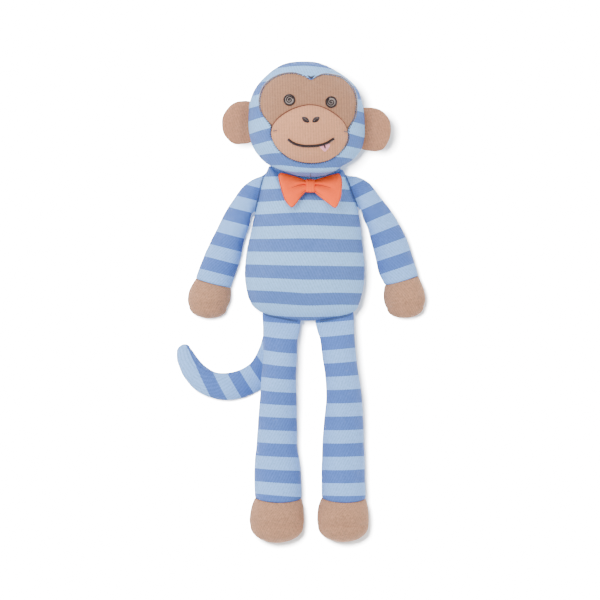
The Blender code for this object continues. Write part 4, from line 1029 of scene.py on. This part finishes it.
def eye(side_name, x, y, turn):
    """A satin-stitched disc, a dark ring round it and a dark line winding in to the pupil."""
    node = side_name + "_eye_embroidery"
    a = 2 * math.pi * np.arange(48) / 48
    rings = [on_face(np.column_stack([x + r * np.cos(a), y + r * np.sin(a)]), lift)
             for r, lift in ((3.5, -0.35), (3.5, 0.15), (2.4, 0.22), (1.0, 0.24))]
    disc = together(side_name + "_eye_satin", [patch(rings, (x, y, float(face_z(x, y)) + 0.75))], GREY_THREAD)
    ring_angle = np.linspace(0, 2 * math.pi * 1.02, 90)
    ring_path = on_face(np.column_stack([x + 3.8 * np.cos(ring_angle), y + 3.8 * np.sin(ring_angle)]), 0.34)
    t = np.linspace(0, 1, 110)
    wind = turn + t * 2 * math.pi * 1.7
    r = 2.75 * (1 - t) + 0.30 * t
    spiral = on_face(np.column_stack([x + r * np.cos(wind), y + r * np.sin(wind)]), 0.38)
    dot = on_face(np.array([[x - 0.35, y], [x - 0.1, y + 0.05], [x + 0.1, y - 0.05], [x + 0.35, y]]), 0.5)
    dark = together(side_name + "_eye_thread", [
        tube("", ring_path, 0.58, None, 8, 0.3, 1.6, link=False),
        tube("", spiral, 0.42, None, 8, 0.3, 1.4, link=False),
        tube("", dot, 0.55, None, 8, 0.2, 1.4, link=False)], DARK_THREAD)
    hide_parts(node)
    return [disc, dark]


threads = eye("right", -8.6, 149.1, 0.3) + eye("left", 22.3, 147.5, 2.1)


def nostril(side_name, x, y, slope):
    """A leaf of satin stitch, with a paler line along it."""
    a = 2 * math.pi * np.arange(36) / 36
    along = np.array([math.cos(slope), math.sin(slope)])
    over = np.array([-along[1], along[0]])

    def leaf(size, lift):
        s = 3.15 * size * np.cos(a)
        w = 1.95 * size * np.sin(a) * (1 - 0.25 * np.abs(np.cos(a)))
        return on_muzzle(np.array([x, y]) + s[:, None] * along + w[:, None] * over, lift)

    rings = [leaf(1.0, -0.4), leaf(1.0, 0.25), leaf(0.82, 0.6), leaf(0.45, 0.78)]
    leaf_piece = together(side_name + "_nostril_satin", [patch(rings, (x, y, float(muzzle_z(x, y)) + 0.82))], DARK_THREAD)
    s = np.linspace(-2.0, 1.9, 16)
    line = on_muzzle(np.array([x, y]) + s[:, None] * along + (0.25 * np.cos(s / 1.3))[:, None] * over, 0.82)
    inner = tube(side_name + "_nostril_line", line, 0.24, DIM_THREAD, 8, 0.3, 1.2)
    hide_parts(side_name + "_nostril_embroidery")
    return [leaf_piece, inner]


threads += nostril("right", 3.4, 134.4, -0.62) + nostril("left", 11.0, 134.5, 0.60)

MOUTH = [(-9.8, 120.1), (-5.2, 116.9), (0.7, 115.2), (6.7, 114.9), (13.3, 115.5), (19.2, 117.3), (24.7, 120.7)]
mouth_path = on_muzzle(even_spline(MOUTH, 0.35), 0.42)
mouth = together("mouth_thread", [tube("", mouth_path, 0.96, None, 12, 0.42, 2.0, link=False),
                                  tube("", on_muzzle([(17.2, 116.2), (17.5, 115.0), (17.8, 113.9), (18.1, 112.7)], 1.0),
                                       0.62, None, 8, 0.3, 1.4, link=False)], DARK_THREAD)
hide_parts("mouth_embroidery")
threads.append(mouth)

# the tongue: wide where it leaves the mouth, narrowing to a rounded tip
TONGUE = [(13.3, 115.2), (15.4, 115.9), (17.9, 116.3), (20.2, 116.7), (21.5, 116.4), (20.9, 114.3), (19.4, 112.4),
          (17.6, 110.9), (15.9, 112.0), (14.3, 113.7)]
tongue_rim = spline(TONGUE, np.arange(50) / 5.0, True)
tongue_mid = tongue_rim.mean(axis=0)
tongue_rings = [on_muzzle(tongue_mid + (tongue_rim - tongue_mid) * size, lift)
                for size, lift in ((1.0, -0.4), (1.0, 0.25), (0.8, 0.55), (0.4, 0.68))]
tongue = together("tongue_satin", [patch(tongue_rings, (*tongue_mid, float(muzzle_z(*tongue_mid)) + 0.72))], PINK_THREAD)
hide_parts("tongue_embroidery")
threads.append(tongue)


def stitches(name, rim, height, mat, spacing=1.75, length=1.7, radius=0.2, lean=0.9, lift=0.42, wobble=0.12):
    """Short stitches that cross a seam one after another."""
    bodies = []
    for k in range(len(rim)):
        before, after = rim[k - 1] if k else rim[0], rim[k + 1] if k + 1 < len(rim) else rim[-1]
        d = after - before
        d = d / max(1e-9, np.linalg.norm(d))
        s = math.sin(12.9898 * k + 4.1) * 43758.5453
        chance = s - math.floor(s)
        turn = lean + (chance - 0.5) * 2 * wobble * 3
        c, w = math.cos(turn), math.sin(turn)
        e = np.array([d[0] * c - d[1] * w, d[0] * w + d[1] * c]) * length * (0.42 + 0.16 * chance)
        path = np.array([rim[k] + e * q for q in (-1, -0.5, 0, 0.5, 1)])
        z = height(path[:, 0], path[:, 1]) + lift + np.array([-0.12, 0.02, 0.08, 0.02, -0.12])
        bodies.append(tube("", np.column_stack([path, z]), radius, None, 6, 0.0, link=False))
    return together(name, bodies, mat)


face_rim = even_spline(FACE_OUTLINE, 1.7, True)
over_face = np.hypot(face_rim[:, 0] - 7.4, face_rim[:, 1] - 164.2) > 1.6


def rim_height(x, y):
    return face_z(x, y) + 0.05


threads.append(stitches("face_edge_stitches", face_rim[over_face], rim_height, NAVY_THREAD))
# the seam allowance behind that edge
closed_rim = even_spline(FACE_OUTLINE, 0.9, True)
closed_rim = np.vstack([closed_rim, closed_rim[:2]])
allowance = np.column_stack([closed_rim, rim_height(closed_rim[:, 0], closed_rim[:, 1]) - 1.3])
threads.append(tube("face_seam_allowance", allowance, 0.85, EDGE_THREAD, 8, 0.1, 2.0, ends=False))
# thread bunched in the notch between the brows
notch = [[(4.6, 167.4), (7.2, 165.0)], [(5.6, 167.3), (7.4, 164.9)], [(6.8, 167.0), (7.5, 164.6)],
         [(8.0, 167.1), (7.6, 164.7)], [(9.2, 167.2), (7.7, 164.9)], [(10.4, 167.4), (7.9, 165.1)]]
threads.append(together("notch_stitches", [
    tube("", np.column_stack([p, rim_height(p[:, 0], p[:, 1]) + 0.25]), 0.3, None, 6, 0.0, link=False)
    for p in (np.linspace(a, b, 6) for a, b in notch)], NAVY_THREAD))

# the crescent seam between the upper face and the muzzle: a brown thread sunk in its crease, which also paints the
# crease's shade
crescent = even_spline(MUZZLE_OUTLINE[1:8], 0.6)
crescent_z = face_z(crescent[:, 0], crescent[:, 1]) - 0.30
threads.append(tube("crescent_seam_thread_and_shade", np.column_stack([crescent, crescent_z]), 0.30, SEAM_THREAD_AND_CREASE_SHADE, 8, 0.4, 1.8))

darts = []
for a, b in (((-20.9, 126.0), (-17.6, 126.7)), ((31.5, 126.1), (34.4, 125.3))):
    p = np.linspace(a, b, 8)
    darts.append(tube("", on_muzzle(p, 0.12), 0.22, None, 6, 0.3, 1.2, link=False))
threads.append(together("dart_stitches", darts, NAVY_THREAD))

for piece in threads:
    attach(piece, "head")


# the seam where the hood is closed under the chin
def on_chin(points, lift):
    points = np.asarray(points, float)
    x, y, z = tuck(points[:, 0], points[:, 1], face_z(points[:, 0], points[:, 1]))
    return np.column_stack([x, y - lift * 0.6, z + lift * 0.8])


chin = tube("chin_stitch", on_chin([(6.9, 95.6), (7.0, 94.2), (7.1, 92.8), (7.1, 91.4)], 0.12), 0.26, DIM_THREAD, 8, 0.3, 1.4)
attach(chin, "head")
# painted shade under the chin, tinted by a painted reflection of the coral bow: its strength at each point of the hood
painted_chin_shade = hood_front.data.attributes.new("painted_chin_shade", "FLOAT", "POINT")
co = np.empty(len(hood_front.data.vertices) * 3)
hood_front.data.vertices.foreach_get("co", co)
co = co.reshape(-1, 3) / MM
chin_shade_mask = smooth(97.2, 95.0, co[:, 1] - 0.0032 * (co[:, 0] - 7.0) ** 2) * smooth(44.0, 52.0, co[:, 2])
painted_chin_shade.data.foreach_set("value", (chin_shade_mask * 0.6).astype(np.float32))

# painted shade: dark blue tubes laid in the creases where the limbs are sewn into the body
def seam_shade_line(name, points, height):
    points = even_spline(points, 0.8)
    angle = np.arctan2(points[:, 1] - TORSO_MID[1], points[:, 0] - TORSO_MID[0])
    reach = TORSO.radius(angle) + 0.05
    path = np.column_stack([TORSO_MID[0] + reach * np.cos(angle), TORSO_MID[1] + reach * np.sin(angle),
                            np.full(len(angle), height)])
    seam = tube(name, path, 0.42, CREASE_SHADE, 8, 0.2, 2.0)
    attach(seam, "torso")


seam_shade_line("right_shoulder_seam_shade", [(-27.0, 93.8), (-30.3, 83.5), (-34.0, 66.5)], 29.6)
seam_shade_line("left_shoulder_seam_shade", [(32.7, 93.6), (36.9, 83), (41.4, 70)], 29.6)
seam_shade_line("right_hip_seam_shade", [(-27.5, -8.8), (-18.0, -11.4), (-10, -13.0), (-2.2, -14.2)], 29.4)
seam_shade_line("left_hip_seam_shade", [(13.5, -14.1), (22, -12.8), (30.0, -11.0), (37.6, -8.7)], 29.4)


# ------------------------------------------------------------- bow tie
def bow_z(y):
    return 54.4 - 0.64 * (y - 70.0)


# Each wing from the knot outwards: its upper and its lower edge.
RIGHT_WING = [((4.6, 89.6), (5.0, 81.9)), ((1.6, 90.9), (2.4, 80.6)), ((-2.0, 92.2), (-0.4, 77.6)),
              ((-6.4, 93.6), (-3.2, 73.6)), ((-11.4, 94.9), (-6.2, 70.4)), ((-15.4, 95.3), (-8.4, 71.2)),
              ((-16.4, 91.4), (-12.2, 76.6))]
LEFT_WING = [((9.0, 89.8), (8.9, 81.7)), ((12.2, 91.0), (11.6, 79.8)), ((16.2, 92.2), (15.6, 76.6)),
             ((20.4, 93.4), (20.4, 72.9)), ((24.6, 94.5), (24.9, 69.8)), ((28.1, 94.9), (27.3, 72.6)),
             ((30.0, 90.2), (29.5, 79.4))]


# the tubes of painted shade down in the bow's pleats
pleats = []


def wing(name, rails, seed):
    """A folded and gathered loop of cloth: two layers, joined round its edges."""
    a, b = np.array([r[0] for r in rails], float), np.array([r[1] for r in rails], float)
    n, rows, columns = len(rails), count(64), count(60)
    t = np.linspace(0, n - 1, rows)
    ta, tb = spline(a, t), spline(b, t)
    s = np.linspace(0, 1, rows)[:, None]
    f = np.linspace(0, 1, columns)[None, :]
    x = ta[:, :1] + (tb[:, :1] - ta[:, :1]) * f
    y = ta[:, 1:] + (tb[:, 1:] - ta[:, 1:]) * f
    belly = np.sin(math.pi * f) ** 0.65 * (1.7 + 1.7 * np.sin(math.pi * np.clip(s * 0.9 + 0.1, 0, 1)) ** 0.8)
    belly = belly * np.sqrt(np.clip(1 - s ** 9, 0, 1))
    fade = np.clip(1 - s / 0.72, 0, 1) ** 0.8
    middle = 0.44 - 0.03 * np.sin(s * 5)
    fold = -3.4 * fade * np.exp(-((f - middle) / (0.05 + 0.05 * s)) ** 2)
    fold += 1.0 * fade * np.exp(-((f - 0.24) / 0.10) ** 2) + 1.1 * fade * np.exp(-((f - 0.66) / 0.11) ** 2)
    fold += -0.55 * np.clip(1 - s / 0.5, 0, 1) * (np.exp(-((f - 0.13) / 0.045) ** 2) + np.exp(-((f - 0.9) / 0.04) ** 2))
    wave = 0.35 * np.sin(s * 7 + f * 4 + seed) * s * np.sin(math.pi * f)
    edge = 0.28 * np.sqrt(np.clip(1 - s ** 14, 0.0, 1))
    top_z = bow_z(y) + edge + belly + fold + wave
    under_z = bow_z(y) - edge - belly * 0.45
    top_z = np.maximum(top_z, under_z + 0.3)
    front = np.stack([x, y, top_z], axis=2)
    # painted shade: dark coral tubes down in the pleats, from the knot outwards
    for at, reach, size, down in ((middle[:, 0], 0.58, 0.66, 0.15), (np.full(rows, 0.13), 0.36, 0.32, 0.12),
                                  (np.full(rows, 0.88), 0.34, 0.30, 0.12)):
        line = np.array([[np.interp(at[i], f[0], front[i, :, k]) for k in range(3)] for i in range(rows) if 0.03 < s[i, 0] < reach])
        line[:, 2] += down
        pleats.append(tube("", line, size * np.linspace(1.0, 0.25, len(line)), None, 8, 0.0, link=False))
    back = np.stack([x, y, under_z], axis=2)[:, ::-1]
    grid = np.concatenate([front, back], axis=1)
    p = grid.reshape(-1, 3)
    cols = grid.shape[1]
    first, last = grid[0].mean(axis=0), grid[-1].mean(axis=0)
    faces = np.vstack([grid_faces(rows, cols, True), pole_faces(len(p), 0, cols, True, False),
                       pole_faces(len(p) + 1, (rows - 1) * cols, cols, True, True)])
    p = np.vstack([p, first[None], last[None]])
    p[:, 2] += 0.10 * lump(p, 3.5, seed)
    return p, outward(p, faces), p[:, :2].copy()


def wing_edge(rails):
    """The stitched edge of a wing: along its lower side and up its outer one."""
    lower = [r[1] for r in rails]
    upper = [r[0] for r in rails]
    rim = even_spline(lower[1:] + [upper[-1]] + [upper[-2]], 0.5)
    return tube("", np.column_stack([rim, bow_z(rim[:, 1]) + 0.25]), 0.3, None, 8, 0.3, 1.6, link=False)


hem = together("bow_tie_hem", [wing_edge(RIGHT_WING), wing_edge(LEFT_WING)], CORAL_THREAD_AND_PLEAT_SHADE)
bow = together("bow_tie_wings", [wing("", RIGHT_WING, 21), wing("", LEFT_WING, 22)], CORAL)
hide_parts("bow_tie_loop")
# painted shade down in the bow's pleats, as dark coral tubes
pleat_shade_lines = together("bow_tie_pleat_shade", pleats, CORAL_THREAD_AND_PLEAT_SHADE)


def knot_band():
    """The band round the middle, drawn tight, with two soft creases along it."""
    across, round_ = count(40), count(72)
    s = np.linspace(-1, 1, across)[:, None]
    a = (2 * math.pi * np.arange(round_) / round_)[None, :]
    half = 3.15 + 0.35 * np.cos(a) ** 2
    bulge = np.sqrt(np.clip(1 - np.abs(s) ** 3.2, 0.0, 1.0))
    crease = 0.28 * np.exp(-((s - 0.35) / 0.13) ** 2) + 0.34 * np.exp(-((s + 0.3) / 0.12) ** 2)
    high = 4.1 + 1.0 * bulge - crease
    deep = 3.0 + 1.6 * bulge - crease
    c, d = np.sign(np.cos(a)) * np.abs(np.cos(a)) ** 0.75, np.sign(np.sin(a)) * np.abs(np.sin(a)) ** 0.75
    x = 6.95 + half * s + 0 * a
    y = 85.9 + high * c
    z = bow_z(y) + 0.4 + deep * d
    grid = np.stack([x, y, z], axis=2)
    p = grid.reshape(-1, 3)
    faces = np.vstack([grid_faces(across, round_, True), pole_faces(len(p), 0, round_, True, False),
                       pole_faces(len(p) + 1, (across - 1) * round_, round_, True, True)])
    p = np.vstack([p, grid[0].mean(axis=0)[None], grid[-1].mean(axis=0)[None]])
    p[:, 2] += 0.12 * lump(p, 2.6, 31)
    return p, outward(p, faces), p[:, :2].copy()


knot = together("bow_tie_band", [knot_band()], CORAL)
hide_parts("bow_tie_knot")
for piece in (bow, knot, hem, pleat_shade_lines):
    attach(piece, "bow_tie")


# ------------------------------------------------------------- floor, light and camera
def plain(name, colour, roughness=1.0):
    m = bpy.data.materials.new(name)
    m.use_nodes = True
    bsdf = m.node_tree.nodes["Principled BSDF"]
    bsdf.inputs["Base Color"].default_value = (*colour, 1.0)
    bsdf.inputs["Roughness"].default_value = roughness
    bsdf.inputs["Specular IOR Level"].default_value = 0.0
    return m


bpy.ops.mesh.primitive_plane_add(size=60.0, location=(0, 0, -0.0003))
floor = bpy.context.object
floor.name = "floor"
floor.data.materials.append(plain("floor_white", (0.93, 0.93, 0.93)))
# the floor's own light doesn't spill onto the toy
floor.visible_diffuse = False


def softbox(name, place, size, power, target=(0, 0, 0)):
    data = bpy.data.lights.new(name, "AREA")
    data.shape = "SQUARE"
    data.size = size
    data.energy = power
    lamp = bpy.data.objects.new(name, data)
    lamp.location = place
    bpy.context.scene.collection.objects.link(lamp)
    away = np.array(place, float) - np.array(target, float)
    lamp.rotation_euler = (math.atan2(math.hypot(away[0], away[1]), away[2]), 0.0, math.atan2(away[0], -away[1]))
    return lamp


softbox("key", (-1.1, 0.9, 1.9), 1.1, 42.0)
wash = softbox("floor_wash", (-0.34, 0.28, 2.2), 0.5, 1150.0)
floor_only = bpy.data.collections.new("floor_only")
floor_only.objects.link(floor)
wash.light_linking.receiver_collection = floor_only
world = bpy.data.worlds.new("studio")
world.use_nodes = True
world.node_tree.nodes["Background"].inputs["Color"].default_value = (1.0, 1.0, 1.0, 1.0)
world.node_tree.nodes["Background"].inputs["Strength"].default_value = 1.76
bpy.context.scene.world = world

camera_data = bpy.data.cameras.new("camera")
camera_data.sensor_width = 36.0
camera_data.lens = 36.0 * (14.0 - 0.025) / 0.44388
camera_data.clip_end = 100.0
camera = bpy.data.objects.new("camera", camera_data)
camera.location = (-0.00074, 0.00148, 14.0)
bpy.context.scene.collection.objects.link(camera)
bpy.context.scene.camera = camera
